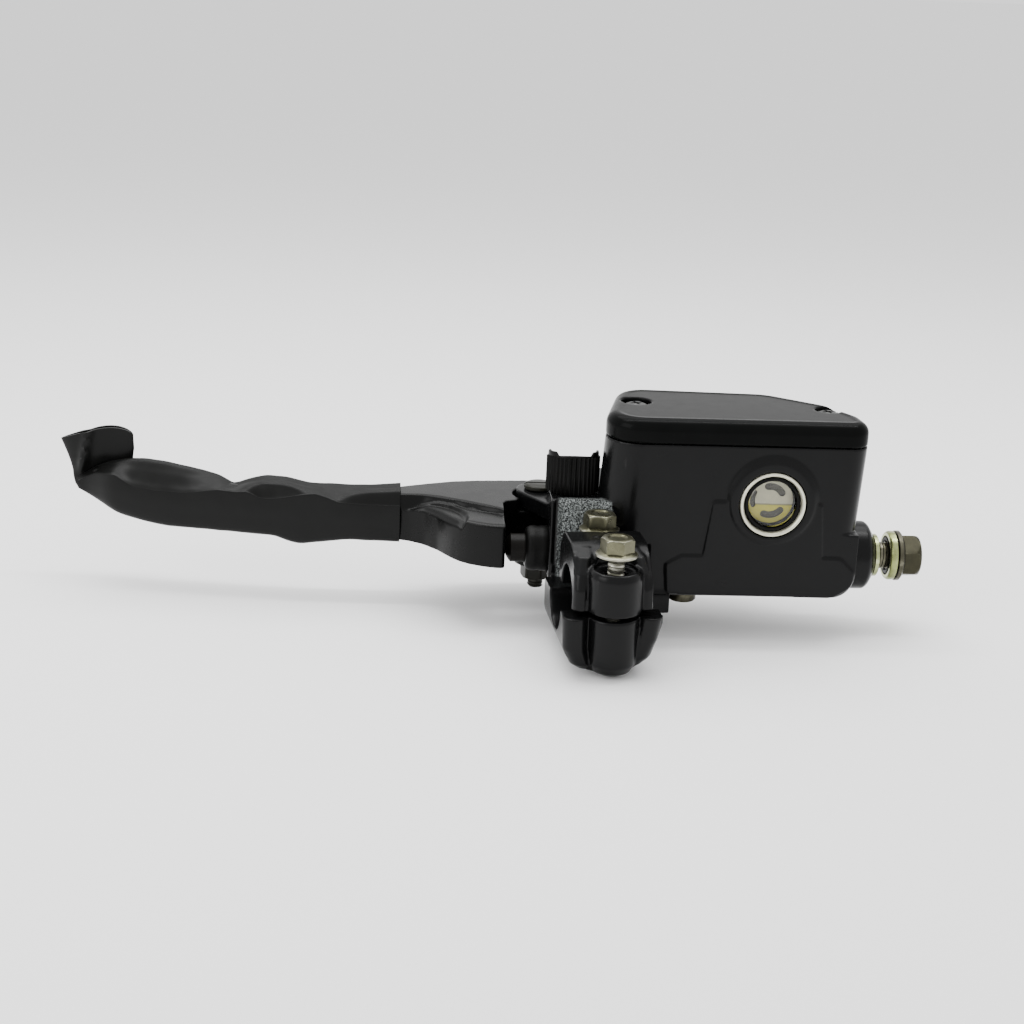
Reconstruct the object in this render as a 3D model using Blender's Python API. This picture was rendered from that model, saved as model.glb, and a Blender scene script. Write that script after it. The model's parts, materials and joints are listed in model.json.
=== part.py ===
"""Hydraulic brake master cylinder with its lever, reservoir and handlebar clamp.

Frame: the origin is the handlebar's axis in the middle of the clamp. +X runs along the cylinder bore
towards the hose outlet, +Y points away from the rider, +Z is up. Lengths below are millimetres.
"""
import math

import bmesh
import bpy
from mathutils import Matrix, Vector

MM = 0.001
FIT_GAP = 0.3

# driving dimensions
BAR_RADIUS = 11.1
CLAMP_SWEEP = math.radians(4.9)
CLAMP_BOLT_X = 0.45
CLAMP_BOLT_SPACING = 32.0
CLAMP_SPLIT_GAP = 1.6
NEAR_BOLT_SEAT = 20.0
FAR_BOLT_SEAT = 18.6
BORE_Y = 36.0
BORE_Z = 5.1
BORE_RADIUS = 7.0
BARREL_LEFT = -16.8
BORE_END = 84.0
HOUSING_LEFT = 13.5
HOUSING_RIGHT = 91.6
HOUSING_BOTTOM = -6.4
RELIEF_PORT_X = 25.6
SUPPLY_PORT_X = 12.0
OUTLET_FACE = 101.0
OUTLET_THREAD_RADIUS = 5.3
RESERVOIR_FRONT = 18.0
RESERVOIR_TOP = 49.2
RESERVOIR_FLOOR = 14.0
LID_TOP = 58.0
WALL = 3.0
PIVOT_X = -19.3
PIVOT_Y = 59.0
EAR_RADIUS = 8.5
LOWER_EAR = (-7.6, 1.0)
UPPER_EAR = (14.7, 20.7)
LEVER_EYE = (1.4, 14.3)
LEVER_TOP = 18.8
CAM_FACE_X = -33.0
SIGHT_X = 59.7
SIGHT_Z = 28.8
MIRROR_X = -9.1
MIRROR_Y = 37.5
MIRROR_TOP = 27.0
PLUG_AT = (31.8, 29.0)
LID_SCREWS = ((13.5, 47.4), (82.0, 41.2))
SWITCH_Y = 68.0
SWITCH_SCREW_AT = (6.6, 9.0)
SWITCH_PLUNGER_YZ = (73.0, 7.2)

# plan of the reservoir and its lid, each corner with its radius: straight front, tapered right, swept back
RESERVOIR_CORNERS = ((-1.8, RESERVOIR_FRONT, 13), (93.6, RESERVOIR_FRONT, 7), (92.4, 33.0, 8), (84.4, 49.0, 14),
                     (64.0, 65.6, 16), (9.0, 69.0, 12))

# middle line of the lever's blade, from its head to its tip
LEVER_PATH = ((-70.0, 58.5, 10.4), (-88.8, 58.4, 10.4), (-107.2, 59.6, 10.2), (-125.7, 61.8, 11.4),
              (-144.3, 64.4, 12.8), (-162.9, 67.4, 14.6), (-176.0, 70.2, 15.2), (-184.5, 73.0, 15.4))


# ---------------------------------------------------------------- modelling helpers

def material(name, colour, roughness, metallic=0.0):
    """Principled material with one colour."""
    made = bpy.data.materials.new(name)
    made.use_nodes = True
    shader = made.node_tree.nodes["Principled BSDF"]
    shader.inputs["Base Color"].default_value = (*colour, 1.0)
    shader.inputs["Roughness"].default_value = roughness
    shader.inputs["Metallic"].default_value = metallic
    return made


def add_object(name, bm, finish=None, parent=None):
    """Turn a bmesh drawn in millimetres into a metre-sized object."""
    bmesh.ops.remove_doubles(bm, verts=bm.verts, dist=0.001)
    bmesh.ops.recalc_face_normals(bm, faces=bm.faces)
    bmesh.ops.scale(bm, vec=(MM, MM, MM), verts=bm.verts)
    mesh = bpy.data.meshes.new(name)
    bm.to_mesh(mesh)
    bm.free()
    mesh.shade_smooth()
    mesh.set_sharp_from_angle(angle=math.radians(32))
    made = bpy.data.objects.new(name, mesh)
    bpy.context.scene.collection.objects.link(made)
    if finish:
        mesh.materials.append(finish)
    made.parent = parent
    return made


def boolean(target, bm, operation, parent=None):
    """Join a tool shape to the target, or cut it away."""
    tool = add_object(f"tool_{target.name}_{len(target.modifiers)}", bm, parent=parent)
    tool.hide_render = True
    tool.display_type = "WIRE"
    modifier = target.modifiers.new(tool.name, "BOOLEAN")
    modifier.operation = operation
    modifier.solver = "EXACT"
    modifier.object = tool


def join(target, *shapes, parent=None):
    for bm in shapes:
        boolean(target, bm, "UNION", parent)


def cut(target, *shapes, parent=None):
    for bm in shapes:
        boolean(target, bm, "DIFFERENCE", parent)


def rounded(corners, steps=5):
    """Closed 2-D outline; each corner is (x, y, radius)."""
    points = []
    for index, (x, y, radius) in enumerate(corners):
        here = Vector((x, y))
        if not radius:
            points.append(here)
            continue
        before = (Vector(corners[index - 1][:2]) - here).normalized()
        after = (Vector(corners[(index + 1) % len(corners)][:2]) - here).normalized()
        half = before.angle(after) / 2
        centre = here + (before + after).normalized() * (radius / math.sin(half))
        start = here + before * (radius / math.tan(half)) - centre
        end = here + after * (radius / math.tan(half)) - centre
        first = math.atan2(start.y, start.x)
        sweep = (math.atan2(end.y, end.x) - first + math.pi) % (2 * math.pi) - math.pi
        for step in range(steps + 1):
            angle = first + sweep * step / steps
            points.append(centre + radius * Vector((math.cos(angle), math.sin(angle))))
    return points


def circle(radius, x=0.0, y=0.0, segments=24):
    turns = (2 * math.pi * step / segments for step in range(segments))
    return [Vector((x + radius * math.cos(a), y + radius * math.sin(a))) for a in turns]


def loft(rings):
    """Closed body through rings of equally many 3-D points."""
    bm = bmesh.new()
    rows = [[bm.verts.new(point) for point in ring] for ring in rings]
    for low, high in zip(rows, rows[1:]):
        for index in range(len(low)):
            following = (index + 1) % len(low)
            bm.faces.new((low[index], low[following], high[following], high[index]))
    bm.faces.new(rows[0])
    bm.faces.new(rows[-1])
    return bm


def lift(points, height, axis="Z"):
    """Outline points as 3-D points in the plane at the given height along an axis."""
    places = {"X": lambda p: (height, p.x, p.y), "Y": lambda p: (p.x, height, p.y), "Z": lambda p: (p.x, p.y, height)}
    return [places[axis](point) for point in points]


def prism(points, low, high, axis="Z"):
    return loft([lift(points, low, axis), lift(points, high, axis)])


def scaled(points, factor):
    """Outline grown or shrunk about its middle."""
    middle = sum(points, Vector((0, 0))) / len(points)
    return [middle + (point - middle) * factor for point in points]


def shrunk(corners, distance):
    """Rounded outline's corners with every side moved inwards; the corners run anticlockwise."""
    moved = []
    for index, (x, y, radius) in enumerate(corners):
        here = Vector((x, y))
        incoming = (here - Vector(corners[index - 1][:2])).normalized()
        outgoing = (Vector(corners[(index + 1) % len(corners)][:2]) - here).normalized()
        normals = [Vector((-side.y, side.x)) for side in (incoming, outgoing)]
        bisector = (normals[0] + normals[1]).normalized()
        here += bisector * (distance / bisector.dot(normals[0]))
        moved.append((here.x, here.y, max(radius - distance, 1.5)))
    return moved


def turned(profile, axis="Z", centre=(0, 0), segments=28):
    """Turned body: profile is (radius, height) from one end to the other, closed into a ring off the axis."""
    bm = bmesh.new()
    ring = all(radius > 0 for radius, _ in profile)
    rows = []
    for radius, height in profile:
        outline = circle(radius, *centre, segments) if radius else [Vector(centre)]
        rows.append([bm.verts.new(point) for point in lift(outline, height, axis)])
    pairs = list(zip(rows, rows[1:])) + ([(rows[-1], rows[0])] if ring else [])
    for low, high in pairs:
        for index in range(segments):
            following = (index + 1) % segments
            corners = [low[index % len(low)], low[following % len(low)],
                       high[following % len(high)], high[index % len(high)]]
            unique = list(dict.fromkeys(corners))
            if len(unique) > 2:
                bm.faces.new(unique)
    return bm


def washer(inner, outer, low, high, axis, centre, segments=28):
    profile = [(inner, low), (outer, low), (outer, high), (inner, high)]
    return turned(profile, axis, centre, segments)


def hexagon(across_flats, x, y, turn=0.0):
    corner = across_flats / math.sqrt(3)
    angles = (turn + math.pi / 3 * step for step in range(6))
    return [Vector((x + corner * math.cos(a), y + corner * math.sin(a))) for a in angles]


def frame_of(name, x, y, z, turn=0.0):
    """Empty that carries the pieces of one joint or one tilted group."""
    made = bpy.data.objects.new(name, None)
    made.location = (x * MM, y * MM, z * MM)
    made.rotation_euler = (0, 0, turn)
    bpy.context.scene.collection.objects.link(made)
    return made


def on_pivot(bm):
    """Move a shape drawn in the world frame to the pivot's own frame."""
    bmesh.ops.translate(bm, vec=(-PIVOT_X, -PIVOT_Y, 0), verts=bm.verts)
    return bm


# ---------------------------------------------------------------- the casting

def reservoir_ring(height, inward=0.0):
    """Reservoir outline at a height; the left wall leans out downwards and the right one leans in."""
    drop = RESERVOIR_TOP - height
    left_lean = max(drop, 0) * math.tan(math.radians(3.9))
    right_lean = max(drop, 0) * math.tan(math.radians(3.0))
    ring = []
    for point in rounded(shrunk(RESERVOIR_CORNERS, inward)):
        share = min(max(point.x / 90.0, 0), 1)
        ring.append(Vector((point.x - left_lean * (1 - share) - right_lean * share, point.y, height)))
    return ring


def barrel_housing():
    """Housing round the bore, with its lower right end rounded off."""
    back = BORE_Y + 12.0
    end_radius = 8.0

    def section(x, bottom):
        outline = rounded([(RESERVOIR_FRONT, bottom, 3), (back, bottom, 11), (back, 18.0, 3),
                           (RESERVOIR_FRONT, 18.0, 0)], 4)
        return lift(outline, x, "X")

    rings = [section(HOUSING_LEFT, HOUSING_BOTTOM)]
    for step in range(6):
        angle = math.pi / 2 * step / 5
        rings.append(section(HOUSING_RIGHT - end_radius * (1 - math.sin(angle)),
                             HOUSING_BOTTOM + end_radius * (1 - math.cos(angle))))
    return loft(rings)


def lower_clamp_profile():
    return rounded([(-16.9, 1.5, 0), (-16.7, -17.0, 7), (-8.0, -20.6, 6), (7.0, -20.6, 6), (13.6, -16.0, 6),
                    (17.4, -4.0, 3), (17.6, 1.5, 0)], 4)


def ear_outline(last, neck_y):
    """Pivot ear: round about the pivot from 80 degrees to the last one, with a neck back to the casting."""
    start, end = math.radians(80), math.radians(last)
    arc = [Vector((PIVOT_X + EAR_RADIUS * math.cos(a), PIVOT_Y + EAR_RADIUS * math.sin(a)))
           for a in (start + (end - start) * step / 12 for step in range(13))]
    return arc + [Vector((-15.6, neck_y)), Vector((-4.0, neck_y)), Vector((-4.0, 66.8))]


def make_casting(finish, clamp_frame):
    body = add_object("master_cylinder_body", loft([reservoir_ring(RESERVOIR_FLOOR), reservoir_ring(RESERVOIR_TOP)]),
                      finish)
    join(body, barrel_housing())
    outlet_side = [(12.4, 80.0), (12.4, OUTLET_FACE - 3.5), (8.3, OUTLET_FACE), (0, OUTLET_FACE)]
    join(body, turned([(0, 80.0)] + outlet_side, "X", (BORE_Y, BORE_Z)))
    join(body, turned([(0, BARREL_LEFT), (10.2, BARREL_LEFT), (10.8, -16.0), (10.8, 20.0), (0, 20.0)], "X",
                      (BORE_Y, BORE_Z)))
    mirror_block = rounded([(-17.3, 25.0, 1.5), (12.2, 25.0, 0), (12.2, 67.3, 0), (-6.0, 67.3, 2), (-6.0, 49.8, 0),
                            (-17.3, 49.8, 5)], 3)
    join(body, prism(mirror_block, -4.0, MIRROR_TOP))
    join(body, prism(ear_outline(270, 49.0), *LOWER_EAR))
    join(body, prism(ear_outline(215, 36.0), *UPPER_EAR))
    join(body, prism(rounded([(-16.4, -17.0, 5), (26.3, -13.6, 0), (26.3, 3.0, 0), (-16.4, 3.0, 0)], 3),
                     21.0, 33.0, "Y"))
    join(body, prism(lower_clamp_profile(), -18.5, 23.0, "Y"), parent=clamp_frame)
    boss = [(0, -21.8), (4.6, -21.4), (7.6, -18.6), (8.6, -14.5), (8.8, 2.0), (0, 2.0)]
    join(body, turned(boss, "Z", (CLAMP_BOLT_X, -CLAMP_BOLT_SPACING / 2)), parent=clamp_frame)

    # hollows: reservoir well with its screw pillars, bore, outlet thread, ports, sight glass seat
    well_floor = RESERVOIR_FLOOR + WALL
    cut(body, loft([reservoir_ring(well_floor, WALL), reservoir_ring(RESERVOIR_TOP + 1, WALL)]))
    for x, y in LID_SCREWS:
        join(body, prism(circle(5.4, x, y, 20), well_floor - 1, RESERVOIR_TOP - 0.2))
    cut(body, turned([(0, BARREL_LEFT - 1), (8.6, BARREL_LEFT - 1), (8.6, -12.0), (BORE_RADIUS, -12.0),
                      (BORE_RADIUS, BORE_END), (OUTLET_THREAD_RADIUS, BORE_END),
                      (OUTLET_THREAD_RADIUS, OUTLET_FACE + 1), (0, OUTLET_FACE + 1)], "X", (BORE_Y, BORE_Z)))
    for x, radius in ((RELIEF_PORT_X, 1.2), (SUPPLY_PORT_X, 1.8)):
        port = [(0, BORE_Z), (radius, BORE_Z), (radius, well_floor + 1), (0, well_floor + 1)]
        cut(body, turned(port, "Z", (x, BORE_Y), 10))
    cut(body, turned([(0, RESERVOIR_FRONT - 2), (11.9, RESERVOIR_FRONT - 2), (11.9, RESERVOIR_FRONT + 3.2),
                      (8.0, RESERVOIR_FRONT + 3.2), (8.0, RESERVOIR_FRONT + 9), (0, RESERVOIR_FRONT + 9)],
                     "Y", (SIGHT_X, SIGHT_Z), 36))
    for x, y in LID_SCREWS:
        cut(body, turned([(0, 33.0), (2.2, 33.0), (2.2, 50.0), (0, 50.0)], "Z", (x, y), 12))
    cut(body, turned([(0, 15.6), (4.3, 15.6), (4.3, 29.0), (0, 29.0)], "Z", (MIRROR_X, MIRROR_Y), 16))
    cut(body, turned([(0, -9.0), (3.4, -9.0), (3.4, 24.0), (0, 24.0)], "Z", (PIVOT_X, PIVOT_Y), 16))
    cut(body, turned([(0, -9.0), (2.8, -9.0), (2.8, -4.0), (0, -4.0)], "Z", PLUG_AT, 12))
    cut(body, turned([(0, -26.0), (BAR_RADIUS, -26.0), (BAR_RADIUS, 26.0), (0, 26.0)], "X", (0, 0), 40),
        parent=clamp_frame)
    for side in (-1, 1):
        hole = [(0, -15.0), (3.3, -15.0), (3.3, 1.0), (0, 1.0)]
        cut(body, turned(hole, "Z", (CLAMP_BOLT_X, side * CLAMP_BOLT_SPACING / 2), 16), parent=clamp_frame)
    clearance = [Vector(corner) for corner in ((-20.0, -28.0), (19.0, -28.0), (19.0, 17.0), (9.4, 24.8), (-20.0, 24.8))]
    cut(body, prism(clearance, -CLAMP_SPLIT_GAP / 2, 13.0), parent=clamp_frame)
    cut(body, turned([(0, 12.0), (8.4, 12.0), (8.4, 32.0), (0, 32.0)], "Z", (CLAMP_BOLT_X, CLAMP_BOLT_SPACING / 2),
                     24), parent=clamp_frame)
    cut(body, turned([(0, 60.0), (2.2, 60.0), (2.2, 69.0), (0, 69.0)], "Y", SWITCH_SCREW_AT, 12))
    return body


# ---------------------------------------------------------------- clamp cap and bolts

def make_clamp(finish, steel, clamp_frame):
    arch = rounded([(-20.0, -2.0, 0), (16.5, -2.0, 0), (16.5, 14.0, 4), (10.0, 20.6, 6), (-9.0, 20.6, 10),
                    (-18.5, 12.0, 4), (-20.0, 6.0, 3)], 4)
    cap = add_object("clamp_cap", prism(arch, -13.4, 13.9, "X"), finish, clamp_frame)
    near = -CLAMP_BOLT_SPACING / 2
    top = 15.6
    for y, boss in ((near, 8.8), (-near, 8.2)):
        outside = [(0, -1.5), (boss, -1.5), (boss, top - 1.2), (boss - 1.2, top), (0, top)]
        join(cap, turned(outside, "Z", (CLAMP_BOLT_X, y)), parent=clamp_frame)
    cut(cap, prism([Vector(corner) for corner in ((-30, -30), (30, -30), (30, 30), (-30, 30))], -5.0,
                   CLAMP_SPLIT_GAP / 2), parent=clamp_frame)
    for y in (near, -near):
        hole = [(0, -1.0), (3.5, -1.0), (3.5, top - 1.6), (7.4, top - 1.6), (7.4, 24.0), (0, 24.0)]
        cut(cap, turned(hole, "Z", (CLAMP_BOLT_X, y), 26), parent=clamp_frame)
    cut(cap, turned([(0, -26.0), (BAR_RADIUS, -26.0), (BAR_RADIUS, 26.0), (0, 26.0)], "X", (0, 0), 40),
        parent=clamp_frame)
    for name, y, seat in (("clamp_bolt_near", near, NEAR_BOLT_SEAT), ("clamp_bolt_far", -near, FAR_BOLT_SEAT)):
        shank = [(0, -10.4), (2.2, -10.4), (2.9, -9.6), (2.9, seat), (7.1, seat), (7.1, seat + 0.9),
                 (5.6, seat + 1.6), (0, seat + 1.6)]
        bolt = add_object(name, turned(shank, "Z", (CLAMP_BOLT_X, y), 24), steel, clamp_frame)
        head = prism(hexagon(10.0, CLAMP_BOLT_X, y, math.radians(12)), seat + 0.4, seat + 6.4)
        join(bolt, head, parent=clamp_frame)


# ---------------------------------------------------------------- lid, diaphragm, screws, sight glass

def make_lid(finish, rubber, plastic, steel):
    seam = RESERVOIR_TOP + FIT_GAP
    fillet = 4.2
    rings = [reservoir_ring(seam)]
    for step in range(5):
        angle = math.pi / 2 * step / 4
        rings.append(reservoir_ring(LID_TOP - fillet * (1 - math.sin(angle)), fillet * (1 - math.cos(angle))))
    lid = add_object("reservoir_lid", loft(rings), finish)
    cut(lid, loft([reservoir_ring(height, WALL + 1.0) for height in (seam - 1, seam + 5.0)]))
    for index, (x, y) in enumerate(LID_SCREWS):
        join(lid, prism(circle(5.2, x, y, 20), seam, LID_TOP - 3.0))
        cut(lid, turned([(0, seam - 1), (2.6, seam - 1), (2.6, LID_TOP - 3.4), (5.4, LID_TOP - 3.4),
                         (5.4, LID_TOP + 1), (0, LID_TOP + 1)], "Z", (x, y), 20))
        screw = [(0, 36.0), (1.9, 36.0), (1.9, LID_TOP - 3.1), (4.2, LID_TOP - 3.1), (3.9, LID_TOP - 1.5),
                 (2.4, LID_TOP - 0.9), (0, LID_TOP - 0.9)]
        made = add_object(("lid_screw_left", "lid_screw_right")[index], turned(screw, "Z", (x, y), 20), steel)
        for turn in (0, math.pi / 2):
            slot = prism(rounded([(-2.2, -0.5, 0), (2.2, -0.5, 0), (2.2, 0.5, 0), (-2.2, 0.5, 0)]),
                         LID_TOP - 2.4, LID_TOP)
            bmesh.ops.rotate(slot, cent=(0, 0, 0), matrix=Matrix.Rotation(turn + 0.4, 3, "Z"), verts=slot.verts)
            bmesh.ops.translate(slot, vec=(x, y, 0), verts=slot.verts)
            cut(made, slot)

    # the diaphragm hangs in the well; its plate sits in the lid's hollow
    edge = WALL + 2.0
    cup = add_object("diaphragm", loft([reservoir_ring(40.0, edge + 1.5), reservoir_ring(48.6, edge)]), rubber)
    cut(cup, loft([reservoir_ring(41.5, edge + 3.0), reservoir_ring(50.0, edge + 1.5)]))
    plate = add_object("diaphragm_plate", loft([reservoir_ring(seam + 0.3, edge), reservoir_ring(seam + 1.8, edge)]),
                       plastic)
    for x, y in LID_SCREWS:
        cut(cup, prism(circle(6.2, x, y, 20), 39.0, 52.0))
        cut(plate, prism(circle(6.2, x, y, 20), 39.0, 53.0))


def make_sight_glass(zinc, rubber, glass, backing):
    at = (SIGHT_X, SIGHT_Z)
    face = RESERVOIR_FRONT
    add_object("sight_glass_ring", turned([(10.1, face + 2.8), (11.6, face + 2.8), (11.6, face - 1.2),
                                           (11.2, face - 1.6), (10.5, face - 1.6), (10.1, face - 1.2)],
                                          "Y", at, 48), zinc)
    add_object("sight_glass_seal", washer(8.5, 9.8, face - 0.4, face + 2.8, "Y", at, 40), rubber)
    add_object("sight_glass_lens", turned([(0, face - 1.4), (3.0, face - 1.25), (6.0, face - 0.75), (8.2, face + 0.2),
                                           (8.2, face + 2.8), (0, face + 2.8)], "Y", at, 40), glass)
    disc = add_object("sight_glass_backing", turned([(0, face + 5.6), (7.7, face + 5.6), (7.7, face + 6.6),
                                                     (0, face + 6.6)], "Y", at, 32), backing)
    for middle in (50, 300, 175):
        angles = [math.radians(middle - 32 + 8 * step) for step in range(9)]
        outer = [Vector((SIGHT_X + 6.2 * math.cos(a), SIGHT_Z + 6.2 * math.sin(a))) for a in angles]
        inner = [Vector((SIGHT_X + 4.2 * math.cos(a), SIGHT_Z + 4.2 * math.sin(a))) for a in reversed(angles)]
        cut(disc, prism(outer + inner, face + 4, face + 8, "Y"))


# ---------------------------------------------------------------- outlet, mirror cap, small fixings

def make_outlet(steel, zinc, rubber):
    at = (BORE_Y, BORE_Z)
    first = OUTLET_FACE + FIT_GAP
    add_object("banjo_washer_inner", washer(6.1, 7.7, first, first + 1.6, "X", at), zinc)
    add_object("banjo_seal_inner", washer(5.2, 5.8, first + 0.2, first + 1.4, "X", at), rubber)
    second = 106.7
    add_object("banjo_washer_outer", turned([(7.2, second), (8.3, second), (8.9, second + 1.0), (8.9, 109.4),
                                             (7.2, 109.4)], "X", at), zinc)
    add_object("banjo_seal_outer", washer(5.2, 6.9, second + 0.5, 109.1, "X", at), rubber)
    bolt = [(0, 86.5), (3.6, 86.5), (4.8, 87.7), (4.8, 109.8), (9.1, 109.8), (9.1, 111.4), (7.6, 112.2), (0, 112.2)]
    made = add_object("banjo_bolt", turned(bolt, "X", at), steel)
    join(made, prism(hexagon(14.0, *at, math.radians(8)), 111.0, 118.6, "X"))
    trim = turned([(7.3, 118.9), (9.5, 118.9), (9.5, 116.2)], "X", at, 24)
    cut(made, trim)
    cut(made, turned([(0, 85.0), (1.6, 85.0), (1.6, 104.6), (0, 104.6)], "X", at, 12))


def make_mirror_cap(rubber):
    """Ribbed rubber cap with a stem in the mirror thread; its rim is scooped, with two raised horns."""
    bottom = MIRROR_TOP + FIT_GAP
    ribs = 30
    rings = []
    for height, radius in ((0, 9.8), (4.5, 9.7)):
        ring = []
        for step in range(2 * ribs):
            angle = math.pi * step / ribs
            reach = radius - 0.35 * (step % 2)
            ring.append((MIRROR_X + reach * math.cos(angle), MIRROR_Y + reach * math.sin(angle), bottom + height))
        rings.append(ring)
    top = []
    for step in range(2 * ribs):
        angle = math.pi * step / ribs
        rise = 1.3 * abs(math.cos(angle)) ** 9 + 2.1 * max(-math.sin(angle), 0) - 6.5 * max(math.sin(angle), 0)
        top.append((MIRROR_X + 9.6 * math.cos(angle), MIRROR_Y + 9.6 * math.sin(angle), bottom + 13.0 + rise))
    rings.append(top)
    cap = add_object("mirror_boss_cap", loft(rings), rubber)
    cut(cap, turned([(0, bottom + 4.0), (7.9, bottom + 4.0), (7.9, bottom + 20), (0, bottom + 20)], "Z",
                    (MIRROR_X, MIRROR_Y), 24))
    join(cap, turned([(0, 18.0), (3.8, 18.0), (3.8, bottom + 1), (0, bottom + 1)], "Z", (MIRROR_X, MIRROR_Y), 16))


def make_port_baffle(steel):
    """Shallow cup on the well's floor that keeps the jet from the relief port off the diaphragm."""
    low = RESERVOIR_FLOOR + WALL + FIT_GAP
    cup = [(0, low + 1.7), (5.0, low + 1.7), (5.6, low + 1.1), (5.6, low), (5.0, low), (5.0, low + 1.0), (0, low + 1.0)]
    add_object("port_baffle", turned(cup, "Z", (RELIEF_PORT_X, BORE_Y), 20), steel)


def make_barrel_plug(steel):
    """Plug screw under the barrel, closing the cross drilling."""
    head = [(0, -10.8), (4.2, -10.8), (5.0, -10.0), (5.0, -6.7), (2.4, -6.7), (2.4, -4.4), (0, -4.4)]
    add_object("barrel_plug", turned(head, "Z", PLUG_AT, 24), steel)


def make_pivot(steel, brass):
    at = (PIVOT_X, PIVOT_Y)
    top = UPPER_EAR[1] + FIT_GAP
    bolt = [(0, -17.4), (2.3, -17.4), (3.0, -16.6), (3.0, top), (5.6, top), (5.6, top + 1.2), (4.6, top + 2.0),
            (0, top + 2.0)]
    made = add_object("pivot_bolt", turned(bolt, "Z", at, 24), steel)
    slot = rounded([(-6.0, -0.6, 0), (6.0, -0.6, 0), (6.0, 0.6, 0), (-6.0, 0.6, 0)])
    shape = prism(slot, top + 1.1, top + 3)
    bmesh.ops.translate(shape, vec=(*at, 0), verts=shape.verts)
    cut(made, shape)
    nut = add_object("pivot_nut", prism(hexagon(10.0, *at, 0.3), -13.6, LOWER_EAR[0] - FIT_GAP), steel)
    cut(nut, prism(circle(3.3, *at, 16), -14, -6))
    add_object("lever_bush", washer(3.4, 4.4, LEVER_EYE[0] + 0.1, LEVER_EYE[1] - 0.1, "Z", at, 20), brass)


# ---------------------------------------------------------------- lever and sleeve

def lever_sections(path, half_depths, half_heights, power=3.2, sides=16):
    """Rings of rounded-square section that stand across a path in the XY plane."""
    rings = []
    for index, point in enumerate(path):
        here = Vector(point)
        before = Vector(path[max(index - 1, 0)])
        after = Vector(path[min(index + 1, len(path) - 1)])
        along = (after - before).normalized()
        across = Vector((along.y, -along.x, 0)).normalized()
        ring = []
        for step in range(sides):
            angle = 2 * math.pi * (step + 0.5) / sides
            c, s = math.cos(angle), math.sin(angle)
            reach = (abs(c) ** power + abs(s) ** power) ** (-1 / power)
            ring.append(here + across * (half_depths[index] * reach * c)
                        + Vector((0, 0, half_heights[index] * reach * s)))
        rings.append(ring)
    return rings


def make_lever(finish, vinyl, pivot_frame):
    head = rounded([(-72.0, 53.4, 0), (-62.0, 48.6, 14), (-49.6, 28.6, 10), (-41.0, 24.0, 10), (-33.3, 22.2, 1.2),
                    (CAM_FACE_X, 31.0, 3), (CAM_FACE_X, 46.0, 3), (-27.5, 50.2, 2), (-10.6, 54.0, 4),
                    (-11.4, 77.4, 5), (-41.0, 75.0, 12), (-60.0, 69.6, 12), (-72.0, 65.0, 0)], 4)
    top = scaled(head, 0.985)
    lever = add_object("brake_lever", on_pivot(loft([lift(head, LEVER_EYE[0]), lift(head, LEVER_TOP - 1.0),
                                                     lift(top, LEVER_TOP)])), finish, pivot_frame)
    sizes = len(LEVER_PATH)
    depths = [5.7 - 1.9 * index / (sizes - 1) for index in range(sizes)]
    heights = [8.0 - 1.9 * index / (sizes - 1) for index in range(sizes)]
    blade = lever_sections(LEVER_PATH, depths, heights)
    tip = Vector(LEVER_PATH[-1])
    blade.append([tip + (Vector(point) - tip) * 0.6 + Vector((-1.6, 0.5, 0)) for point in blade[-1]])
    join(lever, on_pivot(loft(blade)), parent=pivot_frame)
    pocket = turned([(0, LEVER_EYE[1]), (9.8, LEVER_EYE[1]), (9.8, 24.0), (0, 24.0)], "Z", (0, 0), 28)
    cut(lever, pocket, parent=pivot_frame)
    cut(lever, prism([Vector((0.0, 9.6)), Vector((-10.6, -13.4)), Vector((30.0, -13.4)), Vector((30.0, 9.6))],
                     LEVER_EYE[1], 24.0), parent=pivot_frame)
    cut(lever, turned([(0, -2.0), (4.6, -2.0), (4.6, 24.0), (0, 24.0)], "Z", (0, 0), 20), parent=pivot_frame)

    # loose sleeve: a tube with the blade inside it, closed flat past the tip and flared at its end
    half_y = [7.4, 7.2, 7.2, 7.2, 7.0, 6.8, 6.2, 5.6]
    half_z = [10.4, 10.2, 11.0, 10.3, 10.4, 10.6, 9.4, 7.8]
    sleeve_path = ((-73.0, 58.4, 10.4),) + LEVER_PATH[1:]
    outer = lever_sections(sleeve_path, half_y, half_z, 3.0)
    inner = lever_sections(sleeve_path, [size - 1.1 for size in half_y], [size - 1.1 for size in half_z], 3.0)
    flare = [((-190.6, 75.0, 13.6), 2.2, (-2.6, 3.6)), ((-190.4, 76.2, 18.6), 1.7, (-5.4, 1.8)),
             ((-187.4, 77.0, 25.4), 1.6, (-9.4, 0.6)), ((-184.2, 77.6, 32.4), 1.8, (-12.6, -0.6))]
    for (x, y, z), thick, (wide_x, wide_z) in flare:
        ring = []
        for step in range(16):
            angle = 2 * math.pi * (step + 0.5) / 16
            ring.append(Vector((x + wide_x * math.sin(angle), y + thick * math.cos(angle),
                                z + wide_z * math.sin(angle))))
        outer.append(ring)
    sleeve = add_object("lever_sleeve", on_pivot(loft(outer)), vinyl, pivot_frame)
    inner[0] = [point + Vector((8, 0, 0)) for point in inner[0]]
    end = Vector((-187.0, 73.9, 15.4))
    inner.append([end + (point - tip) * 0.58 for point in inner[-1]])
    cut(sleeve, on_pivot(loft(inner)), parent=pivot_frame)


# ---------------------------------------------------------------- cylinder internals

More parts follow.
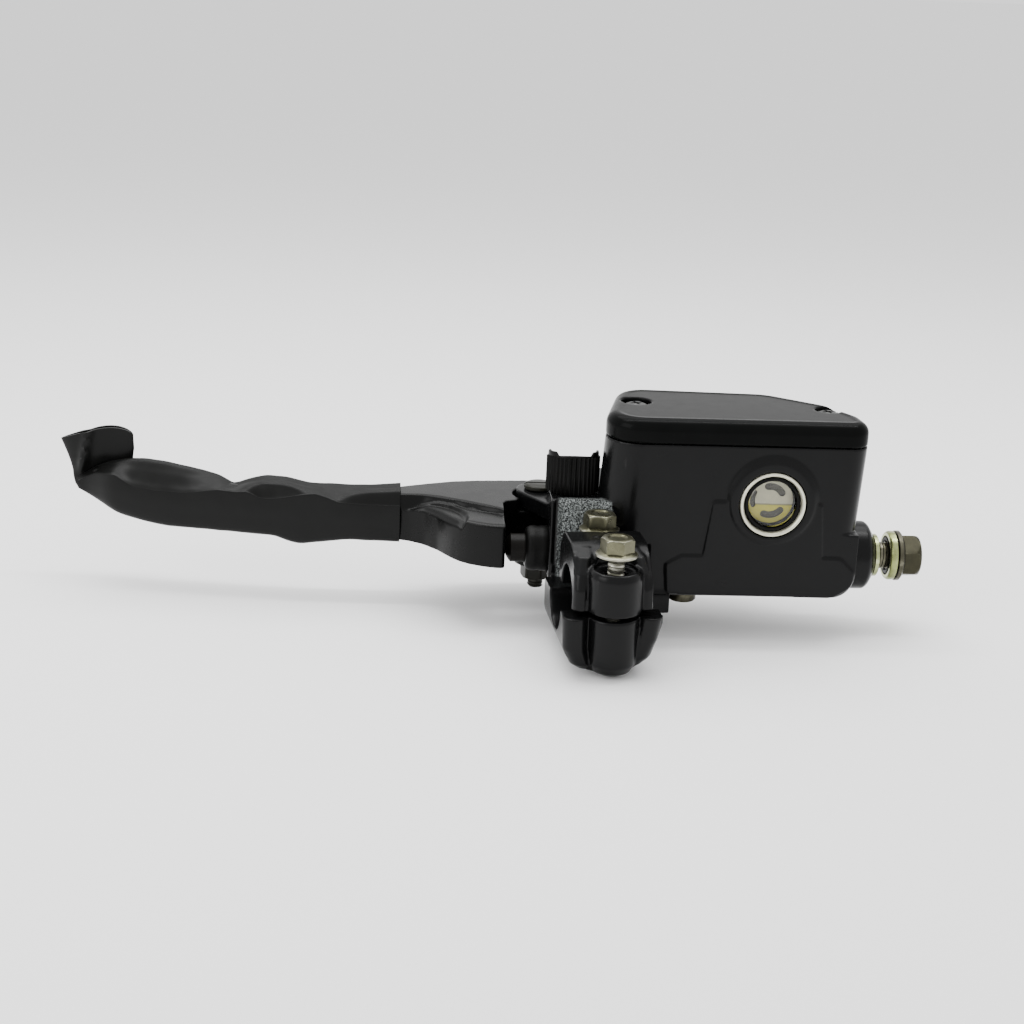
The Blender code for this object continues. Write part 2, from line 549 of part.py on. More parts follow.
def make_internals(alloy, steel, rubber, clip_steel, slide_frame):
    at = (BORE_Y, BORE_Z)

    def slide(bm):
        bmesh.ops.translate(bm, vec=(-CAM_FACE_X, -BORE_Y, -BORE_Z), verts=bm.verts)
        return bm

    nose_radius = 7.0
    nose_front = CAM_FACE_X + FIT_GAP
    dome = []
    for step in range(5):
        angle = math.asin(5.1 / nose_radius) * step / 4
        dome.append((nose_radius * math.sin(angle), nose_front + nose_radius * (1 - math.cos(angle))))
    push = dome + [(5.1, -24.0), (0, -24.0)]
    add_object("push_piece", slide(turned(push, "X", at)), steel, slide_frame)
    piston = [(0, -23.7), (4.4, -23.7), (4.4, -11.6), (6.6, -11.6), (6.6, -8.2), (4.2, -8.2), (4.2, -3.4), (6.6, -3.4),
              (6.6, -1.0), (4.6, 0.6), (4.6, 17.0), (6.6, 18.0), (6.6, 20.0), (3.4, 20.0), (3.4, 25.0), (0, 25.0)]
    add_object("piston", slide(turned(piston, "X", at)), alloy, slide_frame)
    add_object("secondary_cup", slide(washer(4.5, 6.7, -7.9, -3.7, "X", at)), rubber, slide_frame)
    cup = [(3.7, 20.3), (6.5, 20.3), (6.75, 24.2), (5.6, 24.2), (5.2, 21.6), (3.7, 21.6)]
    add_object("primary_cup", slide(turned(cup, "X", at)), rubber, slide_frame)
    seat = [(0, 25.3), (5.9, 25.3), (5.9, 26.2), (2.6, 26.2), (2.6, 29.0), (0, 29.0)]
    add_object("spring_seat", slide(turned(seat, "X", at)), steel, slide_frame)

    wire, coil, turns, per_turn, sides = 0.65, 4.6, 9, 14, 6
    start, end = 27.3, BORE_END - 1.2
    rings = []
    for step in range(turns * per_turn + 1):
        share = step / (turns * per_turn)
        angle = 2 * math.pi * turns * share
        out = Vector((0, math.cos(angle), math.sin(angle)))
        middle = Vector((start + (end - start) * share, BORE_Y, BORE_Z)) + out * coil
        spin = [2 * math.pi * side / sides for side in range(sides)]
        rings.append([middle + out * (wire * math.cos(a)) + Vector((wire * math.sin(a), 0, 0)) for a in spin])
    add_object("return_spring", loft(rings), clip_steel)
    add_object("stop_washer", washer(5.2, 8.1, -13.6, -12.4, "X", at), steel)
    add_object("circlip", washer(6.2, 8.2, -15.2, -14.0, "X", at), clip_steel)
    boot = [(5.6, -25.4), (7.0, -25.4), (8.0, -24.4), (8.0, BARREL_LEFT - FIT_GAP), (6.6, BARREL_LEFT - FIT_GAP),
            (6.6, -23.8), (5.6, -23.8)]
    add_object("dust_boot", turned(boot, "X", at), rubber)


def make_switch(plastic, brass, steel, plunger_frame):
    """Brake-light switch behind the pivot, its plunger held in by the lever's tail."""
    back = SWITCH_Y
    case = add_object("brake_switch_body", prism(rounded([(-5.8, back, 0), (14.2, back, 0), (14.2, back + 11, 1.5),
                                                          (-5.8, back + 11, 1.5)], 3), 1.5, 13.0), plastic)
    cut(case, turned([(0, -8.0), (2.4, -8.0), (2.4, 0.6), (0, 0.6)], "X", SWITCH_PLUNGER_YZ, 16))
    cut(case, turned([(0, back - 1), (2.0, back - 1), (2.0, back + 12), (0, back + 12)], "Y", SWITCH_SCREW_AT, 12))
    plunger = turned([(0, 0), (1.4, 0.4), (2.0, 1.2), (2.0, 10.6), (0, 10.6)], "X", (0, 0), 16)
    add_object("switch_plunger", plunger, brass, plunger_frame)
    for name, height in (("switch_terminal_upper", 9.4), ("switch_terminal_lower", 4.4)):
        blade = [Vector(corner) for corner in ((back + 3, height), (back + 8, height), (back + 8, height + 0.9),
                                               (back + 3, height + 0.9))]
        add_object(name, prism(blade, 14.5, 21.6, "X"), brass)
    screw = [(0, back - 7), (1.7, back - 7), (1.7, back + 11.3), (3.4, back + 11.3), (3.2, back + 12.6),
             (1.8, back + 13.2), (0, back + 13.2)]
    add_object("switch_screw", turned(screw, "Y", SWITCH_SCREW_AT, 16), steel)


def main():
    for old in list(bpy.data.objects):
        bpy.data.objects.remove(old)
    paint = material("black_paint", (0.018, 0.018, 0.018), 0.3)
    lid_paint = material("lid_black", (0.02, 0.02, 0.02), 0.4)
    lever_paint = material("lever_gloss_black", (0.015, 0.015, 0.015), 0.2)
    vinyl = material("sleeve_vinyl", (0.03, 0.03, 0.027), 0.65)
    rubber = material("black_rubber", (0.015, 0.015, 0.015), 0.7)
    olive = material("olive_zinc", (0.30, 0.29, 0.21), 0.35, 0.9)
    pale_zinc = material("yellow_zinc", (0.62, 0.66, 0.30), 0.3, 0.9)
    ring_zinc = material("cream_zinc", (0.72, 0.71, 0.58), 0.35, 0.6)
    glass = material("clear_glass", (0.95, 0.95, 0.92), 0.05)
    backing = material("backing_plate", (0.62, 0.60, 0.48), 0.45)
    plastic = material("black_plastic", (0.02, 0.02, 0.02), 0.5)
    alloy = material("alloy", (0.7, 0.7, 0.7), 0.35, 1.0)
    brass = material("brass", (0.7, 0.55, 0.25), 0.3, 1.0)
    spring_steel = material("spring_steel", (0.45, 0.45, 0.46), 0.3, 1.0)

    clamp_frame = frame_of("clamp_frame", 0, 0, 0, CLAMP_SWEEP)
    pivot_frame = frame_of("pivot_frame", PIVOT_X, PIVOT_Y, 0)
    slide_frame = frame_of("slide_frame", CAM_FACE_X, BORE_Y, BORE_Z)
    plunger_frame = frame_of("plunger_frame", -10.8, *SWITCH_PLUNGER_YZ)

    make_casting(paint, clamp_frame)
    make_clamp(paint, olive, clamp_frame)
    make_lid(lid_paint, rubber, plastic, olive)
    make_sight_glass(ring_zinc, rubber, glass, backing)
    make_outlet(olive, pale_zinc, rubber)
    make_mirror_cap(rubber)
    make_port_baffle(spring_steel)
    make_barrel_plug(olive)
    make_pivot(olive, brass)
    make_lever(lever_paint, vinyl, pivot_frame)
    make_internals(alloy, spring_steel, rubber, spring_steel, slide_frame)
    make_switch(plastic, brass, olive, plunger_frame)


main()
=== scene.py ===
import json
import math

import bmesh
import bpy
import numpy as np
from mathutils import Matrix, Vector, noise


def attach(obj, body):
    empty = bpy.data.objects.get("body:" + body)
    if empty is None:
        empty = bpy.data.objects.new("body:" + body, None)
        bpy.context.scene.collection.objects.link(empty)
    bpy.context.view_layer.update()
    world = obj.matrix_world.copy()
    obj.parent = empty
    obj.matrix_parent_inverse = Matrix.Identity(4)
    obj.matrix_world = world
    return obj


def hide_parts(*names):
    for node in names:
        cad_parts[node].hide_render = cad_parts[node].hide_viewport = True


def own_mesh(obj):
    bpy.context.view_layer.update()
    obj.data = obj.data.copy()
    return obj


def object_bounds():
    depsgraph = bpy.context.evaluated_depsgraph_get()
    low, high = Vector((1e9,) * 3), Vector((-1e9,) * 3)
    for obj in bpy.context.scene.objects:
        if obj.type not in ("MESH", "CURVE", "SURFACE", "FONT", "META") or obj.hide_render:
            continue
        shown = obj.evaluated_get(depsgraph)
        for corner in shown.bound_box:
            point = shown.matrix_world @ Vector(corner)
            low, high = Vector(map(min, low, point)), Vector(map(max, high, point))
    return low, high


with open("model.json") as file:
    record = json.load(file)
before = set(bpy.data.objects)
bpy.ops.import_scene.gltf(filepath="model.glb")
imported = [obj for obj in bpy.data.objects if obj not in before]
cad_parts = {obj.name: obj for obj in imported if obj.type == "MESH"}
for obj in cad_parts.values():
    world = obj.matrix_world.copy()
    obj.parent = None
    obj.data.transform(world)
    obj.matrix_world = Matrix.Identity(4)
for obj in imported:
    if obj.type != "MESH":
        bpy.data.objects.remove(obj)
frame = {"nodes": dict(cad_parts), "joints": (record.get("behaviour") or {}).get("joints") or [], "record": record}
cad_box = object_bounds()


# ---- Master cylinder casting ----------------------------------------------------------------------
# One aluminium casting holds the bore, the fluid reservoir, the lever's pivot ears, the mirror boss
# and the lower half of the handlebar clamp. It is shot-blasted where it isn't machined, then painted
# satin-gloss black. Lengths in this file are millimetres until they reach a mesh.

MM = 0.001


def rounded(corners, steps=10):
    """Closed 2-D outline; each corner is (x, y, radius)."""
    points = []
    for index, (x, y, radius) in enumerate(corners):
        here = Vector((x, y))
        if not radius:
            points.append(here)
            continue
        before = (Vector(corners[index - 1][:2]) - here).normalized()
        after = (Vector(corners[(index + 1) % len(corners)][:2]) - here).normalized()
        half = before.angle(after) / 2
        centre = here + (before + after).normalized() * (radius / math.sin(half))
        start = here + before * (radius / math.tan(half)) - centre
        end = here + after * (radius / math.tan(half)) - centre
        first = math.atan2(start.y, start.x)
        sweep = (math.atan2(end.y, end.x) - first + math.pi) % (2 * math.pi) - math.pi
        for step in range(steps + 1):
            angle = first + sweep * step / steps
            points.append(centre + radius * Vector((math.cos(angle), math.sin(angle))))
    return points


def polar(radius, angle, x=0.0, y=0.0):
    """2-D point at an angle round a centre."""
    return Vector((x + radius * math.cos(angle), y + radius * math.sin(angle)))


def circle(radius, x=0.0, y=0.0, segments=64):
    return [polar(radius, 2 * math.pi * step / segments, x, y) for step in range(segments)]


def rectangle(left, low, right, high):
    return ((left, low), (right, low), (right, high), (left, high))


def lift(points, height, axis="Z"):
    """Outline points as 3-D points in the plane at the given height along an axis."""
    places = {"X": lambda x, y: (height, x, y), "Y": lambda x, y: (x, height, y), "Z": lambda x,
              y: (x, y, height)}
    return [places[axis](*point) for point in points]


def loft(rings, capped=True):
    """Body through rings of equally many 3-D points."""
    bm = bmesh.new()
    rows = [[bm.verts.new(point) for point in ring] for ring in rings]
    for low, high in zip(rows, rows[1:]):
        for index in range(len(low)):
            following = (index + 1) % len(low)
            bm.faces.new((low[index], low[following], high[following], high[index]))
    if capped:
        bm.faces.new(rows[0])
        bm.faces.new(rows[-1])
    return bm


def prism(points, low, high, axis="Z"):
    return loft([lift(points, low, axis), lift(points, high, axis)])


def turned(profile, axis="Z", centre=(0, 0), segments=64):
    """Turned body: profile is (radius, height) from one end to the other, a ring if it keeps off the axis."""
    bm = bmesh.new()
    rows = []
    for radius, height in profile:
        outline = circle(radius, *centre, segments) if radius else [centre]
        rows.append([bm.verts.new(point) for point in lift(outline, height, axis)])
    pairs = list(zip(rows, rows[1:]))
    if all(radius > 0 for radius, _ in profile):
        pairs.append((rows[-1], rows[0]))
    for low, high in pairs:
        for index in range(segments):
            following = (index + 1) % segments
            corners = [low[index % len(low)], low[following % len(low)],
                       high[following % len(high)], high[index % len(high)]]
            unique = list(dict.fromkeys(corners))
            if len(unique) > 2:
                bm.faces.new(unique)
    return bm


def post(profile, axis="Z", centre=(0, 0), segments=64):
    """Turned body whose two end faces run in to the axis."""
    return turned([(0, profile[0][1]), *profile, (0, profile[-1][1])], axis, centre, segments)


def rod(radius, low, high, axis="Z", centre=(0, 0), segments=64):
    return post([(radius, low), (radius, high)], axis, centre, segments)


def solid(name, bm):
    """Metre-sized object, standing at the origin, from a bmesh drawn in millimetres."""
    bmesh.ops.remove_doubles(bm, verts=bm.verts, dist=0.0005)
    bmesh.ops.recalc_face_normals(bm, faces=bm.faces)
    bmesh.ops.scale(bm, vec=(MM, MM, MM), verts=bm.verts)
    mesh = bpy.data.meshes.new(name)
    bm.to_mesh(mesh)
    bm.free()
    made = bpy.data.objects.new(name, mesh)
    bpy.context.scene.collection.objects.link(made)
    return made


def settle(piece):
    """Turn an object's modifiers into plain mesh."""
    bpy.context.view_layer.update()
    evaluated = piece.evaluated_get(bpy.context.evaluated_depsgraph_get())
    mesh = bpy.data.meshes.new_from_object(evaluated)
    piece.modifiers.clear()
    piece.data = mesh
    return piece


def assembled(name, solids, hollows=()):
    """Join the solids, the first of which may be an object already, then cut the hollows out of them."""
    made = solids[0] if isinstance(solids[0], bpy.types.Object) else solid(name, solids[0])
    tools = []
    for operation, shapes in (("UNION", solids[1:]), ("DIFFERENCE", hollows)):
        for shape in shapes:
            tool = solid(f"{name}_tool", shape)
            modifier = made.modifiers.new("tool", "BOOLEAN")
            modifier.operation = operation
            modifier.solver = "EXACT"
            modifier.object = tool
            tools.append(tool)
    settle(made)
    for tool in tools:
        bpy.data.objects.remove(tool)
    return made


def cast_skin(piece, voxel, passes=6, share=0.5):
    """Give a sharp solid the soft edges of a casting under paint."""
    remesh = piece.modifiers.new("skin", "REMESH")
    remesh.mode = "VOXEL"
    remesh.voxel_size = voxel * MM
    smooth = piece.modifiers.new("smooth", "SMOOTH")
    smooth.factor = 0.5
    smooth.iterations = passes
    thin = piece.modifiers.new("thin", "DECIMATE")
    thin.ratio = share
    settle(piece)
    piece.data.shade_smooth()
    return piece


def machined(piece, angle=35):
    """Smooth shading with crisp machined edges."""
    piece.data.shade_smooth()
    piece.data.set_sharp_from_angle(angle=math.radians(angle))
    return piece


def lathed(name, profile, axis, centre, segments=72, angle=35):
    return machined(solid(name, turned(profile, axis, centre, segments)), angle)


def fit(piece, body, node, finish_used):
    """Finish a piece, and put it in the place of its CAD node."""
    piece.data.materials.clear()
    piece.data.materials.append(finish_used)
    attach(piece, body)
    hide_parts(node)
    return piece


def node(tree, kind, inputs=None, **settings):
    """Shader or geometry node; an input is a value or the socket that feeds it."""
    made = tree.nodes.new(kind)
    for key, value in settings.items():
        setattr(made, key, value)
    for key, value in (inputs or {}).items():
        if isinstance(value, bpy.types.NodeSocket):
            tree.links.new(value, made.inputs[key])
        else:
            made.inputs[key].default_value = value
    return made


def node_group(name, kind, inputs, outputs):
    """Node group with named inputs and outputs; returns it with its two end nodes."""
    group = bpy.data.node_groups.new(name, kind)
    for label, socket_kind, value in inputs:
        socket = group.interface.new_socket(name=label, in_out="INPUT",
                                            socket_type="NodeSocket" + socket_kind)
        if value is not None:
            socket.default_value = value
    for label, socket_kind in outputs:
        group.interface.new_socket(name=label, in_out="OUTPUT", socket_type="NodeSocket" + socket_kind)
    return group, group.nodes.new("NodeGroupInput").outputs, group.nodes.new("NodeGroupOutput").inputs


def maths(tree, operation, *values):
    return node(tree, "ShaderNodeMath", dict(enumerate(values)), operation=operation).outputs[0]


def ramp(tree, value, low, high, start=0.0, end=1.0):
    """Runs from start to end while a value runs from low to high."""
    return node(tree, "ShaderNodeMapRange", {"Value": value, "From Min": low, "From Max": high,
                                             "To Min": start, "To Max": end}).outputs["Result"]


def clouds(tree, place, scale, detail, roughness=0.5):
    return node(tree, "ShaderNodeTexNoise", {"Vector": place, "Scale": scale, "Detail": detail,
                                             "Roughness": roughness}).outputs["Fac"]


def blend(tree, mask, low, high, name="blend"):
    """Colour that goes from low to high with a mask."""
    return node(tree, "ShaderNodeMix", {"Factor": mask, 6: low, 7: high}, data_type="RGBA",
                name=name).outputs[2]


def object_place(tree):
    return node(tree, "ShaderNodeTexCoord").outputs["Object"]


def recolour(tree, colour):
    tree.links.new(colour, tree.nodes["Principled BSDF"].inputs["Base Color"])


# colour that drifts a little darker and paler over patches a few millimetres wide
mottle, given, out = node_group("mottle", "ShaderNodeTree", (
    ("Vector", "Vector", None), ("Colour", "Color", (0.5, 0.5, 0.5, 1)),
    ("Per Metre", "Float", 150.0), ("Spread", "Float", 0.1)), (("Colour", "Color"),))
swing = maths(mottle, "SUBTRACT", clouds(mottle, given["Vector"], given["Per Metre"], 4.0, 0.6), 0.5)
swing = maths(mottle, "MULTIPLY_ADD", maths(mottle, "MULTIPLY", swing, given["Spread"]), 4.0, 1.0)
drift = node(mottle, "ShaderNodeVectorMath", {0: given["Colour"], "Scale": swing}, operation="SCALE")
mottle.links.new(drift.outputs[0], out["Colour"])

# fine relief such as orange peel or moulded grain, in metres, and a roughness that varies with it
grain, given, out = node_group("grain", "ShaderNodeTree", (
    ("Vector", "Vector", None), ("Per Metre", "Float", 900.0),
    ("Depth", "Float", 0.00001), ("Roughness", "Float", 0.4),
    ("Spread", "Float", 0.1)), (("Height", "Float"), ("Roughness", "Float")))
bumps = clouds(grain, given["Vector"], given["Per Metre"], 3.0, 0.55)
shift = maths(grain, "SUBTRACT", clouds(grain, given["Vector"], 190.0, 5.0, 0.65), 0.5)
shift = maths(grain, "MULTIPLY_ADD", shift, given["Spread"], given["Roughness"])
grain.links.new(maths(grain, "MULTIPLY", bumps, given["Depth"]), out["Height"])
grain.links.new(shift, out["Roughness"])

# convex edges, where handling rubs a finish thin and where a painted highlight stands in for the light they catch,
# broken up by noise
edge_wear_and_sheen, given, out = node_group("edge rub", "ShaderNodeTree", (
    ("Vector", "Vector", None), ("From", "Float", 0.53), ("To", "Float", 0.6)),
    (("Mask", "Float"),))
convex = ramp(edge_wear_and_sheen, node(edge_wear_and_sheen, "ShaderNodeNewGeometry").outputs["Pointiness"], given["From"],
              given["To"])
worn_and_lit = maths(edge_wear_and_sheen, "MULTIPLY", convex, clouds(edge_wear_and_sheen, given["Vector"], 600.0, 4.0))
edge_wear_and_sheen.links.new(worn_and_lit, out["Mask"])


def finish(name, colour, roughness, metallic=0.0, patch=(6.0, 0.1), grain_size=0.5, grain_depth=0.003,
           gloss_spread=0.12, wear_and_sheen=None, **sockets):
    """Procedural finish; the edge colour shows on convex edges, partly as wear and partly as a painted edge
    highlight, grain sizes are millimetres.
    """
    made = bpy.data.materials.new(name)
    made.use_nodes = True
    tree = made.node_tree
    shader = tree.nodes["Principled BSDF"]
    place = object_place(tree)
    tone = node(tree, "ShaderNodeGroup", node_tree=mottle, name="tone")
    relief = node(tree, "ShaderNodeGroup", node_tree=grain, name="relief")
    for group, values in ((tone, {"Colour": (*colour, 1), "Per Metre": 1000 / patch[0], "Spread": patch[1]}),
                          (relief, {"Per Metre": 1000 / grain_size, "Depth": grain_depth * MM,
                                    "Roughness": roughness, "Spread": gloss_spread})):
        tree.links.new(place, group.inputs["Vector"])
        for key, value in values.items():
            group.inputs[key].default_value = value
    bump = node(tree, "ShaderNodeBump", {"Strength": 1.0, "Distance": 1.0,
                                         "Height": relief.outputs["Height"]}, name="bump")
    shade = tone.outputs["Colour"]
    # convex edges take the edge colour: partly worn finish, partly painted highlight
    if wear_and_sheen:
        edge_marks = node(tree, "ShaderNodeGroup", node_tree=edge_wear_and_sheen)
        tree.links.new(place, edge_marks.inputs["Vector"])
        shade = blend(tree, edge_marks.outputs["Mask"], shade, (*wear_and_sheen, 1), "wear_and_sheen")
    recolour(tree, shade)
    tree.links.new(relief.outputs["Roughness"], shader.inputs["Roughness"])
    tree.links.new(bump.outputs["Normal"], shader.inputs["Normal"])
    shader.inputs["Metallic"].default_value = metallic
    for key, value in sockets.items():
        shader.inputs[key.replace("_", " ")].default_value = value
    return made


bore = bore_y, bore_z = 36.0, 5.1
cam_face = -33.0
reservoir_top, reservoir_floor, wall = 49.2, 14.0, 3.0
reservoir_corners = ((-1.8, 18.0, 13), (93.6, 18.0, 7), (92.4, 33.0, 8), (84.4, 49.0, 14), (64.0, 65.6, 16),
                     (9.0, 69.0, 12))
glass_at = sight_x, sight_z = 59.7, 28.8
plug_at = (31.8, 29.0)
mirror_at = mirror_x, mirror_y = -9.1, 37.5
mirror_top = 27.0
at_pivot = pivot_x, pivot_y = [1000 * value for value in frame["joints"][0]["pos_m"][:2]]
clamp_axis = next(mount for mount in frame["record"]["mounts"] if mount["name"] == "handlebar_clamp")["axis"]
clamp_sweep = math.atan2(clamp_axis[1], clamp_axis[0])
clamp_bolt_x, clamp_bolt_y, bar_radius = 0.45, 16.0, 11.1
near_bolt, far_bolt = ((clamp_bolt_x, y) for y in (-clamp_bolt_y, clamp_bolt_y))


def in_clamp(bm):
    """Turn a shape drawn square to the handlebar to the handlebar's sweep."""
    bmesh.ops.rotate(bm, cent=(0, 0, 0), matrix=Matrix.Rotation(clamp_sweep, 3, "Z"), verts=bm.verts)
    return bm


def reservoir_ring(at_height, inward=0.0, steps=16):
    """Reservoir outline at a height; the left wall leans out downwards and the right one leans in."""
    moved = []
    for index, (x, y, radius) in enumerate(reservoir_corners):
        here = Vector((x, y))
        incoming = (here - Vector(reservoir_corners[index - 1][:2])).normalized()
        outgoing = (Vector(reservoir_corners[(index + 1) % len(reservoir_corners)][:2]) - here).normalized()
        normals = [Vector((-side.y, side.x)) for side in (incoming, outgoing)]
        bisector = (normals[0] + normals[1]).normalized()
        here += bisector * (inward / bisector.dot(normals[0]))
        moved.append((here.x, here.y, max(radius - inward, 1.5)))
    drop = max(reservoir_top - at_height, 0)
    ring = []
    for point in rounded(moved, steps):
        share = min(max(point.x / 90.0, 0), 1)
        lean = drop * (math.tan(math.radians(3.9)) * (1 - share) + math.tan(math.radians(3.0)) * share)
        ring.append(Vector((point.x - lean, point.y, at_height)))
    return ring


def housing():
    """Housing round the bore, with its lower right end rounded off."""
    def section(x, bottom):
        return lift(rounded([(18.0, bottom, 3), (48.0, bottom, 11), (48.0, 18.0, 3), (18.0, 18.0, 0)], 8),
                    x, "X")

    rings = [section(13.5, -6.4)]
    for step in range(11):
        angle = math.pi / 2 * step / 10
        rings.append(section(83.6 + 8.0 * math.sin(angle), -6.4 + 8.0 * (1 - math.cos(angle))))
    return loft(rings)


def column(points):
    """Rounded pillar through circles of (x, y, z, radius)."""
    return loft([lift(circle(radius, x, y, 32), z) for x, y, z, radius in points])


def bar_hole():
    return rod(bar_radius, -26.0, 26.0, "X", segments=96)


def ear(low, high, last, neck_y):
    start, end = math.radians(80), math.radians(last)
    arc = [polar(8.5, start + (end - start) * step / 30, *at_pivot) for step in range(31)]
    return prism(arc + [Vector((-15.6, neck_y)), Vector((-4.0, neck_y)), Vector((-4.0, 66.8))], low, high)


lower_clamp = rounded([(-16.9, 1.5, 0), (-16.6, -15.0, 8), (-7.0, -20.4, 8), (6.0, -20.4, 8),
                       (13.4, -15.6, 6), (17.0, -4.0, 3), (17.2, 1.5, 0)])
front_step = rounded([(24.4, -5.0, 1), (84.0, -5.6, 7), (90.6, -1.0, 3), (90.8, 4.2, 2), (85.6, 9.3, 4),
                      (78.9, 9.3, 0.6), (77.2, 29.3, 1.5), (39.0, 29.3, 1.0), (36.5, 9.3, 0.8),
                      (29.0, 9.3, 3), (23.4, 6.0, 1)], 5)
casting_solids = [
    loft([reservoir_ring(reservoir_floor), reservoir_ring(reservoir_top)]), housing(),
    post([(12.4, 80.0), (12.4, 97.8), (11.6, 99.0), (8.3, 101.0)], "X", bore),
    post([(10.0, -16.8), (10.8, -16.0), (10.8, 20.0)], "X", bore),
    prism(rounded([(-17.3, 25.0, 1.0), (12.2, 25.0, 0), (12.2, 67.3, 0), (-6.0, 67.3, 2), (-6.0, 49.8, 0),
                   (-17.3, 49.8, 5)]), -4.0, mirror_top),
    ear(-7.6, 1.0, 270, 49.0), ear(14.7, 20.7, 215, 36.0),
    prism(rounded([(-16.4, -17.0, 7), (26.3, -13.6, 0), (26.3, 3.0, 0), (-16.4, 3.0, 0)]), 21.0, 33.0, "Y"),
    *map(in_clamp, (
        prism(lower_clamp, -18.0, 23.0, "Y"),
        turned([(0, -21.8), (4.0, -21.6), (6.6, -20.2), (8.2, -17.4), (8.6, -14.5), (8.8, -1.6),
                (8.4, -0.7), (0, -0.7)], "Z", near_bolt),
        column([(-12.9, -16.8, -0.8, 4.3), (-12.5, -16.7, -12.0, 4.2), (-10.4, -16.4, -17.4, 3.6),
                (-8.8, -16.2, -19.4, 2.0)]),
        column([(12.9, -17.0, -0.8, 4.2), (11.6, -16.9, -9.0, 4.1), (9.6, -16.6, -15.4, 3.5),
                (8.2, -16.2, -18.4, 2.0)]))),
    prism(front_step, 17.45, 20.0, "Y"),
    post([(14.2, 16.6), (14.7, 16.8), (16.3, 17.7), (16.6, 20.0)], "Y", (sight_x, sight_z + 0.8)),
    prism(((-17.4, 24.0), (-16.0, 24.0), (-15.8, 26.0), (-17.4, 26.0)), -14.0, 26.6),
    prism(((-14.9, 24.4), (-14.1, 24.4), (-14.0, 26.0), (-15.0, 26.0)), -14.0, 25.6),
]
well_floor = reservoir_floor + wall
casting_hollows = [
    loft([reservoir_ring(well_floor, wall), reservoir_ring(reservoir_top + 1, wall)]),
    post([(8.6, -18.0), (8.6, -12.0), (7.0, -12.0), (7.0, 84.0), (5.3, 84.0), (5.3, 102.0)], "X", bore),
    post([(11.9, 12.0), (11.9, 21.2), (8.0, 21.2), (8.0, 27.0)], "Y", glass_at),
    rod(4.3, 15.6, 29.0, "Z", mirror_at),
    rod(3.4, -9.0, 24.0, "Z", at_pivot),
    rod(2.8, -9.0, -4.0, "Z", plug_at),
    in_clamp(bar_hole()),
    in_clamp(prism(((-20.0, -28.0), (19.0, -28.0), (19.0, 17.0), (9.4, 24.8), (-20.0, 24.8)), -0.8, 13.0)),
    in_clamp(rod(7.6, 12.0, 25.4, "Z", far_bolt)),
]
casting_hollows += [in_clamp(rod(3.3, -15.0, 1.0, "Z", at)) for at in (near_bolt, far_bolt)]
casting = assembled("casting", casting_solids, casting_hollows)
cast_skin(casting, 0.42, 4, 0.28)

paint = finish("satin_black_paint", (0.0024, 0.0025, 0.0026), 0.25, patch=(9.0, 0.16), grain_size=1.6,
               grain_depth=0.004, wear_and_sheen=(0.012, 0.012, 0.012), Specular_IOR_Level=0.13)

# the face between the clamp and the mirror boss is left rough: coarse shot-blast pits in the bump, with pale
# speckles painted into the colour as glints, painted highlight that also lifts the recess out of its shade
tree = paint.node_tree
place = object_place(tree)
spot = node(tree, "ShaderNodeSeparateXYZ", {0: place}).outputs
mask = None
for axis, low, high, soft in (("X", -13.8, 4.0, 1.4), ("Y", 22.0, 26.4, 0.6), ("Z", -9.0, 26.4, 1.2)):
    for start, end in ((low - soft, low), (high + soft, high)):
        side = ramp(tree, spot[axis], start * MM, end * MM)
        mask = maths(tree, "MULTIPLY", mask, side) if mask else side
# painted highlight: pale speckles over the rough face, brighter than the paint to make up for the shade of the
# recess
painted_glints = maths(tree, "MULTIPLY", ramp(tree, clouds(tree, place, 2300.0, 4.0, 0.75), 0.44, 0.72), mask)
recolour(tree, blend(tree, painted_glints, tree.nodes["wear_and_sheen"].outputs[2], (0.5, 0.54, 0.53, 1)))
pits = node(tree, "ShaderNodeTexVoronoi", {"Vector": place, "Scale": 1500.0}).outputs["Distance"]
pit_depth = maths(tree, "MULTIPLY_ADD", maths(tree, "MULTIPLY", pits, mask), 0.0002,
                  tree.nodes["relief"].outputs["Height"])
tree.links.new(pit_depth, tree.nodes["bump"].inputs["Height"])
fit(casting, "cylinder", "master_cylinder_body", paint)


# ---- Clamp cap and its bolts ----------------------------------------------------------------------
# The cap closes the clamp over the handlebar: a cast arch with a round boss for each M6 bolt and a
# pillar either side of the near boss. The bolts are zinc-plated flange bolts, olive passivated, and
# they aren't screwed home, so their rolled threads show.

boss_top = 15.6
arch = rounded([(-17.6, -2.0, 0), (16.5, -2.0, 0), (16.5, 14.0, 4), (10.0, 20.6, 6), (-6.4, 20.6, 14),
                (-17.0, 10.6, 8)])
cap_solids = [
    prism(arch, -13.0, 13.4, "X"),
    post([(9.4, -2.0), (9.3, 13.0), (8.8, 14.7), (7.8, boss_top)], "Z", near_bolt),
    post([(8.2, -2.0), (8.2, 14.4), (7.4, boss_top)], "Z", far_bolt),
    column([(-11.0, -15.6, -2.0, 2.9), (-10.8, -15.4, 8.0, 2.9), (-10.2, -13.4, 13.0, 3.2),
            (-9.2, -8.6, 17.8, 3.0), (-8.0, -4.0, 19.8, 2.4)]),
    column([(11.6, -15.4, -2.0, 2.6), (10.8, -15.2, 8.0, 2.6), (9.9, -13.2, 13.0, 3.0),
            (9.0, -8.6, 17.8, 2.9), (8.0, -4.0, 19.8, 2.4)]),
    turned([(0.8, 20.3), (1.25, 20.3), (1.25, 20.9), (0.8, 20.9)], "Z", (-2.7, 3.2)),
]
cap_hollows = [prism(rectangle(-30, -30, 30, 30), -5.0, 0.8), bar_hole()]
